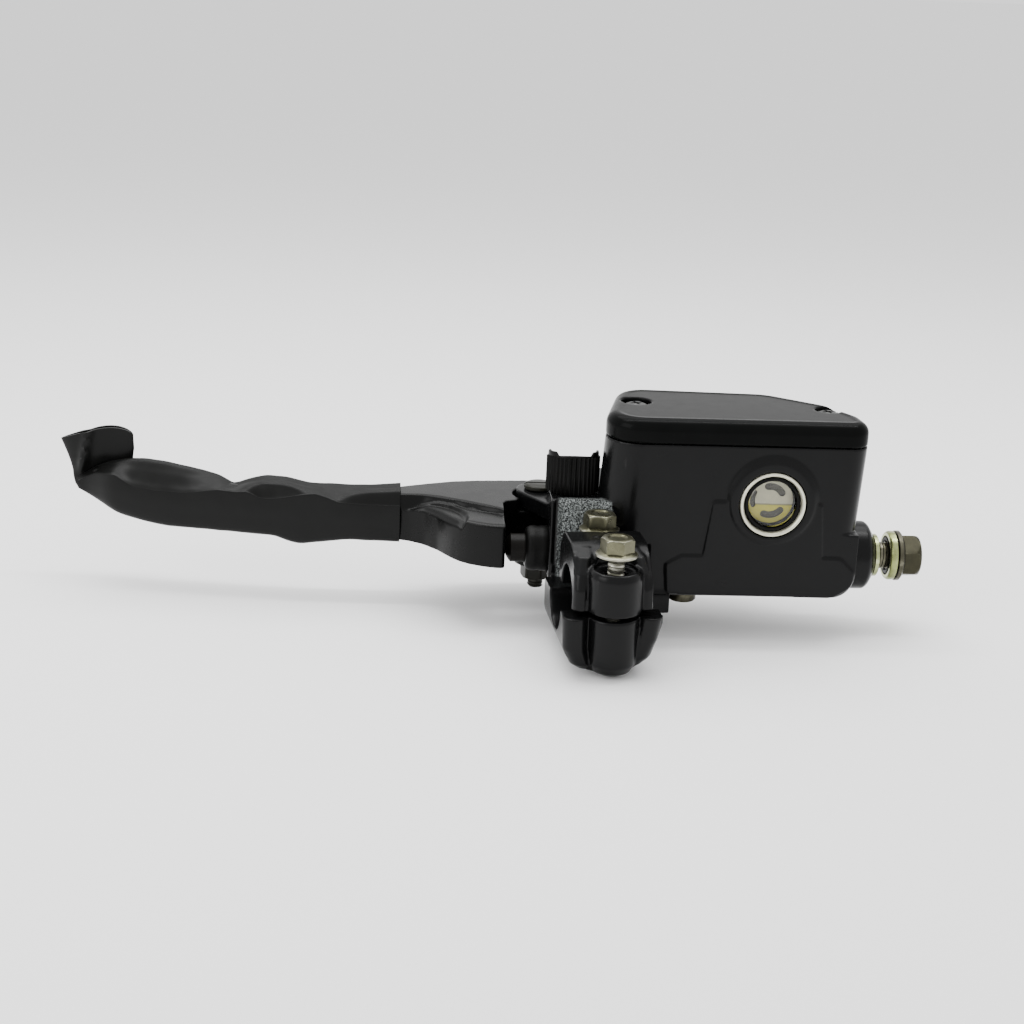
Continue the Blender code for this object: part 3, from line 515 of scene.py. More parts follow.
for at in (near_bolt, far_bolt):
    cap_hollows.append(post([(3.5, -1.0), (3.5, boss_top - 1.6), (7.2, boss_top - 1.6), (7.2, boss_top),
                             (7.6, boss_top + 0.6), (7.6, 24.0)], "Z", at))
clamp_cap = assembled("clamp_arch", [in_clamp(shape) for shape in cap_solids],
                      [in_clamp(shape) for shape in cap_hollows])
cast_skin(clamp_cap, 0.35, 12, 0.4)
fit(clamp_cap, "cylinder", "clamp_cap", paint)


def hex_ring(across, reach, segments=72, turn=0.0):
    """Outline of a hexagon whose corners are turned off at a reach from its middle."""
    points = []
    for step in range(segments):
        angle = 2 * math.pi * step / segments
        flat = (angle + math.pi / 6) % (math.pi / 3) - math.pi / 6
        radius = min(across / 2 / math.cos(flat), reach)
        points.append(polar(radius, angle + turn))
    return points


def hex_head(across, low, high, turn=0.0, turned_off=0.9, under=False):
    """Hexagon head along Z with its top corners, and its lower ones too, turned off at 30 degrees."""
    levels = [(low, across)]
    if under:
        levels = [(low, across * 0.5), (low + turned_off * 0.4, across * 0.54), (low + turned_off, across)]
    levels += [(high - turned_off, across), (high - turned_off * 0.7, across * 0.555),
               (high - turned_off * 0.4, across * 0.53), (high - turned_off * 0.12, across * 0.5),
               (high, across * 0.465)]
    return loft([lift(hex_ring(across, reach, turn=turn), level_z) for level_z, reach in levels])


def moved(bm, offset, axis="Z"):
    """Stand a shape drawn along Z on another axis, and move it."""
    if axis == "X":
        bmesh.ops.rotate(bm, cent=(0, 0, 0), matrix=Matrix(((0, 0, 1), (1, 0, 0), (0, 1, 0))), verts=bm.verts)
    bmesh.ops.translate(bm, vec=offset, verts=bm.verts)
    return bm


def merge(piece, *others):
    """Put other objects' meshes into a piece's own."""
    bm = bmesh.new()
    for other in (piece, *others):
        bm.from_mesh(other.data)
    bm.to_mesh(piece.data)
    bm.free()
    for other in others:
        bpy.data.objects.remove(other)
    return piece


# rolled thread: one ridge that winds up round a shank
thread, given, out = node_group("rolled thread", "GeometryNodeTree", (
    ("Radius", "Float", 0.003), ("Pitch", "Float", 0.001), ("Length", "Float", 0.01),
    ("Finish", "Material", None)), (("Geometry", "Geometry"),))
turns = maths(thread, "DIVIDE", given["Length"], given["Pitch"])
ridge_size = maths(thread, "MULTIPLY", given["Pitch"], 0.52)
ridge_line = maths(thread, "SUBTRACT", given["Radius"], ridge_size)
winding = node(thread, "GeometryNodeCurveSpiral", {
    "Resolution": 48, "Rotations": turns, "Start Radius": ridge_line, "End Radius": ridge_line,
    "Height": given["Length"]})
ridge = node(thread, "GeometryNodeCurvePrimitiveCircle", {"Resolution": 4, "Radius": ridge_size})
wound = node(thread, "GeometryNodeCurveToMesh", {"Curve": winding.outputs[0],
                                                 "Profile Curve": ridge.outputs[0], "Fill Caps": True})
plain_wound = node(thread, "GeometryNodeRealizeInstances", {"Geometry": wound.outputs[0]})
set_finish = node(thread, "GeometryNodeSetMaterial",
                  {"Geometry": plain_wound.outputs[0], "Material": given["Finish"]})
thread.links.new(set_finish.outputs[0], out["Geometry"])


def grown(name, tree, values):
    """Plain mesh object made by a geometry node tree from named input values."""
    made = bpy.data.objects.new(name, bpy.data.meshes.new(name))
    bpy.context.scene.collection.objects.link(made)
    modifier = made.modifiers.new("tree", "NODES")
    modifier.node_group = tree
    for item in tree.interface.items_tree:
        if item.in_out == "INPUT" and item.name in values:
            modifier[item.identifier] = values[item.name]
    return settle(made)


def threaded(piece, radius, pitch, low, high, at, axis="Z", turn_to=None):
    """Wind a thread round a piece's shank between two heights."""
    coil = grown("thread", thread, {"Radius": radius * MM, "Pitch": pitch * MM, "Length": (high - low) * MM,
                                    "Finish": None})
    bm = bmesh.new()
    bm.from_mesh(coil.data)
    moved(bm, Vector((*at, low)) * MM if axis == "Z" else Vector((low, *at)) * MM, axis)
    if turn_to:
        bmesh.ops.rotate(bm, cent=(0, 0, 0), matrix=Matrix.Rotation(turn_to, 3, "Z"), verts=bm.verts)
    bmesh.ops.recalc_face_normals(bm, faces=bm.faces)
    bm.to_mesh(coil.data)
    bm.free()
    return merge(piece, coil)


olive = finish("olive_passivated_zinc", (0.115, 0.112, 0.07), 0.3, 0.9, patch=(3.5, 0.22),
               grain_depth=0.006, gloss_spread=0.3, wear_and_sheen=(0.75, 0.74, 0.66))
# a darker olive zinc, for the outlet bolt and the plug screw
olive_dark = finish("dark_olive_zinc", (0.024, 0.0225, 0.012), 0.32, 0.8, patch=(3.0, 0.25),
                    grain_depth=0.007, gloss_spread=0.3, wear_and_sheen=(0.2, 0.19, 0.14))
for bolt_node, y, seat in (("clamp_bolt_near", -clamp_bolt_y, 20.0), ("clamp_bolt_far", clamp_bolt_y, 18.6)):
    flange = [(0, seat - 30.4), (2.1, seat - 30.4), (2.45, seat - 29.6), (2.45, seat), (6.9, seat),
              (7.15, seat + 0.25), (7.1, seat + 0.75), (6.4, seat + 1.15), (5.4, seat + 1.7), (0, seat + 1.7)]
    head = hex_head(10.0, seat + 0.8, seat + 6.4, math.radians(12))
    bolt = assembled(bolt_node.replace("clamp_bolt", "flange_bolt"),
                     [in_clamp(turned(flange, "Z", (clamp_bolt_x, y))),
                      in_clamp(moved(head, (clamp_bolt_x, y, 0)))],
                     [in_clamp(post([(2.9, seat + 6.0), (3.4, seat + 6.5)], "Z",
                                      (clamp_bolt_x, y)))])
    threaded(bolt, 2.98, 1.0, seat - 29.4, seat - 0.4, (clamp_bolt_x, y), turn_to=clamp_sweep)
    machined(bolt)
    fit(bolt, "cylinder", bolt_node, olive)


# ---- Reservoir lid, its screws and the diaphragm --------------------------------------------------
# A cast lid with a full front fillet, satin black, held by two countersunk cross-head screws. Its
# top is left plain. The rubber diaphragm and its plate lie underneath.

seam, lid_top, fillet = 49.5, 58.0, 4.2
lid_rings = [reservoir_ring(seam, 0.25), reservoir_ring(seam + 0.3), reservoir_ring(seam + 1.4)]
for step in range(13):
    angle = math.pi / 2 * step / 12
    lid_rings.append(reservoir_ring(lid_top - fillet * (1 - math.sin(angle)), fillet * (1 - math.cos(angle))))
lid_rings.append(reservoir_ring(lid_top - 0.25, fillet + 1.1))
lid_rings.append(reservoir_ring(lid_top - 0.25, fillet + 2.0))
lid_screws = ((13.5, 47.4), (82.0, 41.2))
under_lid = loft([reservoir_ring(seam - 1, 4.0), reservoir_ring(seam + 5.0, 4.0)])
lid = assembled("lid", [loft(lid_rings)], [under_lid])
lid = assembled("lid", [lid] + [prism(circle(5.2, x, y, 48), seam, lid_top - 3.0) for x, y in lid_screws],
                [post([(2.6, seam - 1), (2.6, lid_top - 3.4), (recess, lid_top - 3.4),
                       (recess, lid_top - 0.5), (recess + 0.5, lid_top + 0.4)], "Z", at)
                 for at, recess in zip(lid_screws, (5.4, 4.6))])
cast_skin(lid, 0.5, 3, 0.5)
lid_paint = finish("satin_lid_paint", (0.0026, 0.0028, 0.0027), 0.22, patch=(11.0, 0.18), grain_size=0.8,
                   gloss_spread=0.14, wear_and_sheen=(0.012, 0.012, 0.012), Specular_IOR_Level=0.07, IOR=1.32)
fit(lid, "cylinder", "reservoir_lid", lid_paint)

black_oxide = finish("black_oxide_steel", (0.02, 0.02, 0.02), 0.42, 0.6, patch=(2.0, 0.25), grain_size=0.4,
                     grain_depth=0.004, wear_and_sheen=(0.12, 0.12, 0.12))
rubber = finish("black_rubber", (0.0022, 0.0022, 0.002), 0.4, patch=(5.0, 0.15), grain_size=0.6,
                grain_depth=0.004, Specular_IOR_Level=0.09)
nylon = finish("black_moulded_nylon", (0.02, 0.02, 0.021), 0.5, patch=(7.0, 0.15), grain_size=0.35,
               grain_depth=0.012)


def refinish(finish_used, *nodes):
    """Give CAD nodes whose shape is right their finish."""
    for name in nodes:
        mesh = frame["nodes"][name].data
        mesh.materials.clear()
        mesh.materials.append(finish_used)


refinish(black_oxide, "lid_screw_left", "lid_screw_right")
refinish(rubber, "diaphragm")
refinish(nylon, "diaphragm_plate")


# ---- Sight glass ----------------------------------------------------------------------------------
# A domed lens pressed into a pale zinc ring with a rubber seal round it. A pierced backing plate
# sits behind the lens; brake fluid stands against its lower half.

ring = lathed("sight_ring", [(10.1, 20.8), (11.55, 20.8), (11.6, 17.0), (11.45, 16.6), (11.1, 16.42),
                             (10.75, 16.5), (10.4, 16.9), (10.1, 17.5)], "Y", glass_at, 144, 60)
cream_zinc = finish("pale_passivated_zinc", (0.66, 0.65, 0.52), 0.3, 0.75, patch=(3.0, 0.12),
                    gloss_spread=0.2)
fit(ring, "cylinder", "sight_glass_ring", cream_zinc)
seal = lathed("sight_seal", [(8.5, 20.8), (9.8, 20.8), (9.8, 17.9), (9.6, 17.6), (8.8, 17.5), (8.5, 17.8)],
              "Y", glass_at, 96, 60)
fit(seal, "cylinder", "sight_glass_seal", rubber)

dome = [(0, 16.7)]
for step in range(1, 13):
    radius = 8.2 * step / 12
    dome.append((radius, 16.7 + 1.5 * (radius / 8.2) ** 2.2))
lens_body = lathed("sight_lens", dome + [(8.2, 20.8), (0, 20.8)], "Y", glass_at, 96, 50)
glass = bpy.data.materials.new("clear_sight_glass")
glass.use_nodes = True
shader = glass.node_tree.nodes["Principled BSDF"]
smear = clouds(glass.node_tree, object_place(glass.node_tree), 350.0, 3.0)
glass.node_tree.links.new(ramp(glass.node_tree, smear, 0.35, 0.75, 0.0, 0.035), shader.inputs["Roughness"])
for socket, value in (("Base Color", (0.97, 0.97, 0.93, 1)), ("Transmission Weight", 1.0), ("IOR", 1.3),
                      ("Specular IOR Level", 0.2)):
    shader.inputs[socket].default_value = value
fit(lens_body, "cylinder", "sight_glass_lens", glass)


def kidney(middle, radius, half_span, width):
    """Curved slot round the sight glass's middle, with round ends."""
    points = []
    for side, reach in ((1, radius + width / 2), (-1, radius - width / 2)):
        angles = [math.radians(middle + side * half_span * (step / 8 - 1)) for step in range(17)]
        points += [polar(reach, angle) for angle in angles]
        tip = math.radians(middle + side * half_span)
        centre = polar(radius, tip)
        for step in range(1, 6):
            turn = tip + (0 if side > 0 else math.pi) + math.pi * step / 6
            points.append(centre + width / 2 * polar(1, turn))
    return [point + Vector(glass_at) for point in points]


backing = assembled("sight_backing", [post([(7.6, 23.6), (7.75, 23.8), (7.75, 24.6)], "Y", glass_at, 96)],
                    [prism(kidney(*slot), 22.0, 24.2, "Y")
                     for slot in ((66, 4.6, 34, 2.3), (-76, 4.9, 34, 2.3), (176, 5.6, 22, 1.7))])
machined(backing, 40)
fluid_level = sight_z - 1.4
plate = finish("backing_and_fluid", (0.46, 0.445, 0.34), 0.35, patch=(2.0, 0.12), grain_size=0.4)
tree = plate.node_tree
here = node(tree, "ShaderNodeSeparateXYZ", {0: object_place(tree)}).outputs
above = ramp(tree, here["Z"], (fluid_level - 0.12) * MM, (fluid_level + 0.12) * MM)
shade = blend(tree, above, (0.5, 0.45, 0.035, 1), tree.nodes["tone"].outputs["Colour"])
off_level = maths(tree, "ABSOLUTE", maths(tree, "SUBTRACT", here["Z"], fluid_level * MM))
shade = blend(tree, ramp(tree, off_level, 0.1 * MM, 0.45 * MM, 0.75, 0.0), shade, (0.09, 0.085, 0.04, 1))
# painted shade: the slot pockets, deeper than the plate's face, are coloured near black for the dark space behind
# the plate
painted_slot_shade = ramp(tree, here["Y"], 23.7 * MM, 23.85 * MM)
recolour(tree, blend(tree, painted_slot_shade, shade, (0.012, 0.009, 0.003, 1)))
fit(backing, "cylinder", "sight_glass_backing", plate)


# ---- Outlet: banjo bolt and sealing washers -------------------------------------------------------
# A drilled M10 bolt holds two bonded seals, each a pale yellow-green zinc washer with a rubber lip,
# apart for the hose's banjo fitting, which isn't fitted here, so its thread shows between them.

green_zinc = finish("yellow_green_zinc", (0.17, 0.2, 0.05), 0.24, 0.9, patch=(2.5, 0.18), grain_size=0.4,
                    gloss_spread=0.2, wear_and_sheen=(0.8, 0.82, 0.55))
for name, cad_node, slot, finish_used, segments, angle, profile in (
        ("outlet_washer_inner", "banjo_washer_inner", "yellow_zinc", green_zinc, 96, 35,
         [(6.1, 101.3), (7.5, 101.3), (7.7, 101.5), (7.7, 102.7), (7.5, 102.9), (6.1, 102.9)]),
        ("outlet_washer_outer", "banjo_washer_outer", "yellow_zinc", green_zinc, 96, 35,
         [(7.2, 106.7), (8.2, 106.7), (8.6, 107.0), (8.9, 107.6), (8.9, 109.2), (8.7, 109.4), (7.2, 109.4)]),
        ("outlet_seal_outer", "banjo_seal_outer", "black_rubber", rubber, 72, 60,
         [(5.2, 107.2), (5.6, 106.6), (6.4, 106.5), (6.9, 107.0), (6.9, 109.1), (5.2, 109.1)])):
    fit(lathed(name, profile, "X", bore, segments, angle), "cylinder", cad_node, finish_used)
refinish(rubber, "banjo_seal_inner")

banjo = assembled("outlet_bolt", [
    post([(3.4, 86.5), (4.2, 87.6), (4.2, 109.8), (8.9, 109.8), (9.1, 110.0), (9.1, 111.2), (8.6, 111.7),
          (7.4, 112.3)], "X", bore, 96),
    moved(hex_head(14.0, 111.0, 118.6, math.radians(8), 2.2), (0, *bore), "X")],
    [rod(1.6, 85.0, 104.6, "X", bore, 32),
     post([(4.4, 118.1), (4.9, 118.7)], "X", bore, 48)])
threaded(banjo, 4.95, 1.0, 87.8, 109.4, bore, "X")
machined(banjo)
fit(banjo, "cylinder", "banjo_bolt", olive_dark)


# ---- Rubber cap on the mirror boss ----------------------------------------------------------------
# A soft cap keeps dirt out of the mirror's thread. Its wall is ribbed, and its rim is cut low at the
# back and stands up in two horns at the sides.

cap_bottom = mirror_top + 0.3


def eased(value):
    value = min(max(value, 0.0), 1.0)
    return value * value * (3 - 2 * value)


def rim_height(angle):
    near, far = max(-math.sin(angle), 0), max(math.sin(angle), 0)
    horn = 1.5 * eased((abs(math.cos(angle)) - 0.66) / 0.14)
    return 12.9 + 1.4 * near ** 2 - 6.5 * far + horn


cap_rings = []
for share, radius in ((0, 9.0), (0.02, 9.25), (0.5, 9.15), (0.93, 9.05), (0.98, 8.95), (1.0, 8.7), (1.0, 8.2),
                      (0.98, 7.95), (0.93, 7.9), (0.6, 7.9)):
    ring_points = []
    for step in range(144):
        angle = 2 * math.pi * step / 144
        level_z = cap_bottom + share * rim_height(angle)
        ring_points.append((*polar(radius, angle, *mirror_at), level_z))
    cap_rings.append(ring_points)
cap_rings.append([(x, y, cap_bottom + 4.0) for x, y, _ in cap_rings[-1]])
stem = post([(3.2, 18.0), (3.8, 18.8), (3.8, cap_bottom + 1)], "Z",
              (mirror_x, mirror_y))
mirror_cap = assembled("mirror_cap", [loft(cap_rings), stem])

rib_cage, given, out = node_group("cap ribs", "GeometryNodeTree", (
    ("Count", "Int", 36), ("Radius", "Float", 0.009), ("Depth", "Float", 0.0005),
    ("Side Height", "Float", 0.012), ("Near Rise", "Float", 0.002),
    ("Far Drop", "Float", 0.0065), ("Finish", "Material", None)),
    (("Geometry", "Geometry"),))
spots = node(rib_cage, "GeometryNodeMeshCircle", {"Vertices": given["Count"], "Radius": given["Radius"]})
where = node(rib_cage, "ShaderNodeSeparateXYZ", {0: node(rib_cage, "GeometryNodeInputPosition").outputs[0]})
bearing = maths(rib_cage, "ARCTAN2", where.outputs["Y"], where.outputs["X"])
facing = node(rib_cage, "ShaderNodeCombineXYZ", {"Z": maths(rib_cage, "ADD", bearing, math.pi / 4)})
forth = maths(rib_cage, "DIVIDE", where.outputs["Y"], given["Radius"])
rise = maths(rib_cage, "MAXIMUM", maths(rib_cage, "MULTIPLY", forth, -1.0), 0.0)
rise = maths(rib_cage, "MULTIPLY_ADD", rise, given["Near Rise"], given["Side Height"])
drop = maths(rib_cage, "MULTIPLY", maths(rib_cage, "MAXIMUM", forth, 0.0), given["Far Drop"])
stretch = node(rib_cage, "ShaderNodeCombineXYZ", {"X": given["Depth"], "Y": given["Depth"],
                                                  "Z": maths(rib_cage, "SUBTRACT", rise, drop)})
bar = node(rib_cage, "GeometryNodeMeshCube", {"Size": (1, 1, 1)})
stood = node(rib_cage, "GeometryNodeTransform", {"Geometry": bar.outputs[0], "Translation": (0, 0, 0.5)})
row = node(rib_cage, "GeometryNodeInstanceOnPoints", {
    "Points": spots.outputs[0], "Instance": stood.outputs[0], "Rotation": facing.outputs[0],
    "Scale": stretch.outputs[0]})
real = node(rib_cage, "GeometryNodeRealizeInstances", {"Geometry": row.outputs[0]})
rubbery = node(rib_cage, "GeometryNodeSetMaterial",
               {"Geometry": real.outputs[0], "Material": given["Finish"]})
rib_cage.links.new(rubbery.outputs[0], out["Geometry"])
rib_row = grown("ribs", rib_cage, {"Count": 36, "Radius": 9.05 * MM, "Depth": 0.75 * MM,
                                   "Side Height": 12.4 * MM, "Near Rise": 1.2 * MM, "Far Drop": 6.4 * MM,
                                   "Finish": rubber})
rib_row.data.transform(Matrix.Translation(Vector((mirror_x, mirror_y, cap_bottom)) * MM))
merge(mirror_cap, rib_row)
machined(mirror_cap, 50)
fit(mirror_cap, "cylinder", "mirror_boss_cap", rubber)


# ---- Plug, baffle and pivot -----------------------------------------------------------------------
# A plug screw closes the cross drilling under the barrel. The lever turns on a shouldered, slotted
# pivot screw in a brass bush, and a nut locks the screw under the lower ear.

barrel_plug = assembled("plug_screw", [post([(4.0, -10.8), (4.6, -10.6), (5.0, -10.0), (5.0, -7.0),
                                             (4.8, -6.7), (2.4, -6.7), (2.4, -4.4)], "Z", plug_at, 72)],
    [moved(prism(hex_ring(5.0, 4.0, 36), -11.5, -8.6), (*plug_at, 0))])
fit(machined(barrel_plug), "cylinder", "barrel_plug", olive_dark)

blackened = finish("blackened_olive_zinc", (0.008, 0.0078, 0.0052), 0.34, 0.15, patch=(2.5, 0.25),
                   grain_depth=0.006, gloss_spread=0.25, wear_and_sheen=(0.04, 0.04, 0.032), Specular_IOR_Level=0.2)
screw_top = 21.0
pivot_screw = assembled("pivot_screw", [post([(2.3, -17.4), (2.65, -16.8), (2.65, -8.6), (3.0, -8.0),
                                              (3.0, screw_top), (5.3, screw_top), (5.6, screw_top + 0.3),
                                              (5.6, screw_top + 1.2), (5.2, screw_top + 1.7),
                                              (4.4, screw_top + 2.0)], "Z", at_pivot, 72)],
    [moved(prism(rectangle(-6, -0.6, 6, 0.6), screw_top + 1.1, screw_top + 3), (*at_pivot, 0))])
threaded(pivot_screw, 2.98, 1.0, -17.0, -8.6, at_pivot)
fit(machined(pivot_screw), "cylinder", "pivot_bolt", blackened)
pivot_nut = assembled("pivot_nut_m6", [moved(hex_head(10.0, -13.6, -7.9, 0.3, 0.7, True), (*at_pivot, 0))],
                      [post([(3.9, -14.5), (3.25, -13.2), (3.25, -8.3), (3.9, -7.0)], "Z", at_pivot, 48)])
fit(machined(pivot_nut), "cylinder", "pivot_nut", blackened)

brass = finish("turned_brass", (0.56, 0.36, 0.12), 0.3, 1.0, patch=(3.0, 0.15), grain_size=0.3,
               gloss_spread=0.25, wear_and_sheen=(0.75, 0.55, 0.25))
steel = finish("ground_spring_steel", (0.42, 0.41, 0.4), 0.32, 1.0, patch=(4.0, 0.15), grain_size=0.4,
               gloss_spread=0.25, wear_and_sheen=(0.7, 0.69, 0.67))
alloy = finish("anodised_alloy", (0.5, 0.48, 0.42), 0.3, 1.0, patch=(5.0, 0.1), grain_size=0.4,
               grain_depth=0.002, gloss_spread=0.2, wear_and_sheen=(0.8, 0.8, 0.8))
bush = lathed("bush", [(3.4, 1.7), (3.6, 1.5), (4.2, 1.5), (4.4, 1.7), (4.4, 14.0), (4.2, 14.2),
                       (3.6, 14.2), (3.4, 14.0)], "Z", at_pivot, 72, 60)
fit(bush, "lever", "lever_bush", brass)
refinish(steel, "port_baffle")


# ---- Lever ----------------------------------------------------------------------------------------
# A forged and painted aluminium lever. Its flat top falls by a soft step to a lower terrace towards
# the rider, and a thin groove parts the cam's own flat from the rest. The blade runs on in the sleeve.

lever_low, lever_high = 1.4, 18.8
front_line = ((-74.0, 53.6), (-70.9, 52.8), (-67.2, 51.4), (-61.9, 47.6), (-56.7, 41.2), (-54.2, 36.7),
              (-51.7, 32.6), (-49.2, 29.3), (-46.7, 27.1), (-44.2, 25.5), (-41.7, 24.3), (-39.2, 23.3),
              (-36.7, 22.7), (-34.6, 22.4), (-33.2, 22.6))
step_line = ((-74.0, 53.0), (-70.2, 53.7), (-62.3, 54.0), (-55.5, 51.8), (-50.9, 49.2), (-46.7, 47.0),
             (-41.6, 43.8), (-36.6, 40.6), (-30.0, 35.4))
hook_line = ((22.0, -48.4), (29.0, -47.6), (33.0, -46.4), (38.0, -46.6), (43.0, -48.8), (47.5, -52.5),
             (50.5, -58.0), (52.0, -64.0), (53.5, -74.0))
cam_groove = ((-54.4, 53.2), (-48.8, 46.9), (-44.7, 43.1), (-38.6, 40.6), (-30.0, 36.6))


def along(line, at):
    return float(np.interp(at, [point[0] for point in line], [point[1] for point in line]))


def smoothed(line, at, reach):
    """Value of a line softened over a reach either side."""
    offsets = np.linspace(-reach, reach, 9)
    weights = np.exp(-(2 * offsets / reach) ** 2)
    return sum(along(line, at + offset) * weight for offset, weight in zip(offsets, weights)) / sum(weights)


def lever_surface(x, y):
    """Height of the lever head's top."""
    back = y - smoothed(step_line, x, 2.5)
    inland = y - smoothed(front_line, x, 1.6)
    beside_cam = x - smoothed(hook_line, y, 2.0)
    near = 15.9 - 1.7 * eased(1 - inland / 5.0) - 0.8 * math.exp(-((back + 1.8) / 1.3) ** 2)
    crisp = eased((x + 59.0) / 7.0)
    cam = 16.9 - 0.7 * crisp * math.exp(-((y - smoothed(cam_groove, x, 2.0)) / 0.7) ** 2)
    rim = 0.3 * math.exp(-((inland - 0.9) / 0.5) ** 2) - 0.35 * math.exp(-((inland - 2.1) / 0.6) ** 2)
    cam += rim * crisp
    lower = near + (cam - near) * eased((beside_cam + 0.7) / 1.8) * eased((x + 66.0) / 10.0)
    lower -= 0.45 * crisp * math.exp(-((beside_cam + 0.8) / 0.9) ** 2) * eased(-back / 3.0)
    return lower + (lever_high - lower) * eased((back + 1.5) / 2.2)


spacing, columns, rows_back = 0.4, 112, 88
bm = bmesh.new()
places = [[(-74.0 + spacing * i, 21.0 + spacing * j) for j in range(rows_back)] for i in range(columns)]
sheet = [[bm.verts.new((x, y, lever_surface(x, y))) for x, y in line] for line in places]
lid_sheet = [[bm.verts.new((vertex.co.x, vertex.co.y, 24.0)) for vertex in line] for line in sheet]
for i in range(columns - 1):
    for j in range(rows_back - 1):
        bm.faces.new((sheet[i][j], sheet[i + 1][j], sheet[i + 1][j + 1], sheet[i][j + 1]))
        bm.faces.new((lid_sheet[i][j], lid_sheet[i][j + 1], lid_sheet[i + 1][j + 1], lid_sheet[i + 1][j]))
border = [(i, 0) for i in range(columns)] + [(columns - 1, j) for j in range(1, rows_back)]
border += [(i, rows_back - 1) for i in range(columns - 2, -1, -1)] + [(0, j)
                                                                      for j in range(rows_back - 2, 0, -1)]
for (i, j), (k, m) in zip(border, border[1:] + border[:1]):
    bm.faces.new((sheet[i][j], lid_sheet[i][j], lid_sheet[k][m], sheet[k][m]))

head = [(x, smoothed(front_line, x, 1.6)) for x in np.linspace(-71.0, -34.2, 60)]
head += [(-33.5, 22.6), (cam_face, 23.3), (cam_face, 46.0), (-31.8, 48.4), (-27.5, 50.2), (-14.0, 53.2),
         (-11.0, 55.4), (-10.7, 60.0), (-11.3, 73.0), (-12.6, 76.2), (-16.4, 77.2), (-41.0, 75.0),
         (-51.0, 73.0), (-60.0, 69.4), (-67.0, 66.2), (-71.0, 64.2)]
blade_path = ((-70.0, 58.5, 10.4), (-88.8, 58.4, 10.4), (-107.2, 59.6, 10.2), (-125.7, 61.8, 11.4),
              (-144.3, 64.4, 12.8), (-162.9, 67.4, 14.6), (-176.0, 70.2, 15.2), (-184.5, 73.0, 15.4))
blade_rings = []
for index, (x, y, z) in enumerate(blade_path):
    share = index / (len(blade_path) - 1)
    across, tall = 5.6 - 1.9 * share, 7.8 - 1.9 * share
    ring = []
    for step in range(32):
        c, s = math.cos(math.pi * step / 16), math.sin(math.pi * step / 16)
        reach = (abs(c) ** 3.2 + abs(s) ** 3.2) ** (-1 / 3.2)
        ring.append((x, y + across * reach * c, z + tall * reach * s))
    blade_rings.append(ring)
blade_rings.append([(x - 1.6, y + (point[1] - y) * 0.6, z + (point[2] - z) * 0.6)
                    for point in blade_rings[-1]])
gap = ((pivot_x, pivot_y + 9.6), (pivot_x - 10.6, pivot_y - 13.4), (10.7, pivot_y - 13.4),
       (10.7, pivot_y + 9.6))
lever = assembled("lever", [prism(head, lever_low, lever_high), loft(blade_rings)], [
    bm, rod(9.8, 14.3, 24.0, "Z", at_pivot), prism(gap, 14.3, 24.0),
    rod(4.6, -2.0, 24.0, "Z", at_pivot)])
cast_skin(lever, 0.4, 8, 0.4)
lever_paint = finish("satin_lever_paint", (0.0018, 0.0019, 0.0018), 0.28, patch=(12.0, 0.14),
                     grain_size=1.2, wear_and_sheen=(0.012, 0.012, 0.012), Specular_IOR_Level=0.12)
fit(lever, "lever", "brake_lever", lever_paint)


# ---- Lever sleeve ---------------------------------------------------------------------------------
# A loose soft vinyl tube drawn over the blade. It bags into long folds, is pinched at the lever's
# tip, and its open end is squashed flat and turned up there.

top_line = ((-192.4, 16.2), (-190, 17.5), (-186, 20.0), (-180, 23.2), (-172, 25.2), (-165.6, 25.6),
            (-158.4, 25.1), (-144.2, 22.8), (-138.0, 21.4), (-134.6, 19.6), (-132.6, 18.5), (-130.5, 19.0),
            (-125.5, 20.9), (-120.2, 22.2), (-112.2, 21.8), (-104.3, 20.0), (-85.8, 20.0), (-72.0, 20.9),
            (-70.0, 21.2))
crease_line = ((-192.4, 15.2), (-190, 16.3), (-183, 20.3), (-176, 21.1), (-170, 17.6), (-161, 16.5),
               (-150, 16.3), (-138, 18.1), (-131, 17.6), (-126.4, 18.2), (-122, 16.3), (-116, 16.5),
               (-107, 18.0), (-101.5, 18.7), (-97.2, 17.4), (-93.0, 15.7), (-71.5, 15.3))
belly_line = ((-192.4, 14.0), (-188.5, 11.8), (-183.9, 9.7), (-174.8, 5.2), (-165.7, 3.2), (-156.7, 2.0),
              (-129.8, 1.3), (-116.6, 0.9), (-112.6, -0.7), (-107.5, -2.0), (-98.7, -0.5), (-89.8, 0.8),
              (-71.5, 0.2))
middle_line = tuple((x, y) for x, y, z in reversed(blade_path))
stations = list(np.linspace(-70.6, -190.6, 120))
sides_round = 56


def closed_spline(points, count):
    """Evenly stepped Catmull-Rom loop through 2-D points."""
    loop = []
    for step in range(count):
        place = len(points) * step / count
        index, t = int(place), place % 1
        a, b, c, d = (Vector(points[(index + offset) % len(points)]) for offset in (-1, 0, 1, 2))
        loop.append(0.5 * (2 * b + (c - a) * t + (2 * a - 5 * b + 4 * c - d) * t * t
                           + (3 * b - a - 3 * c + d) * t ** 3))
    return loop


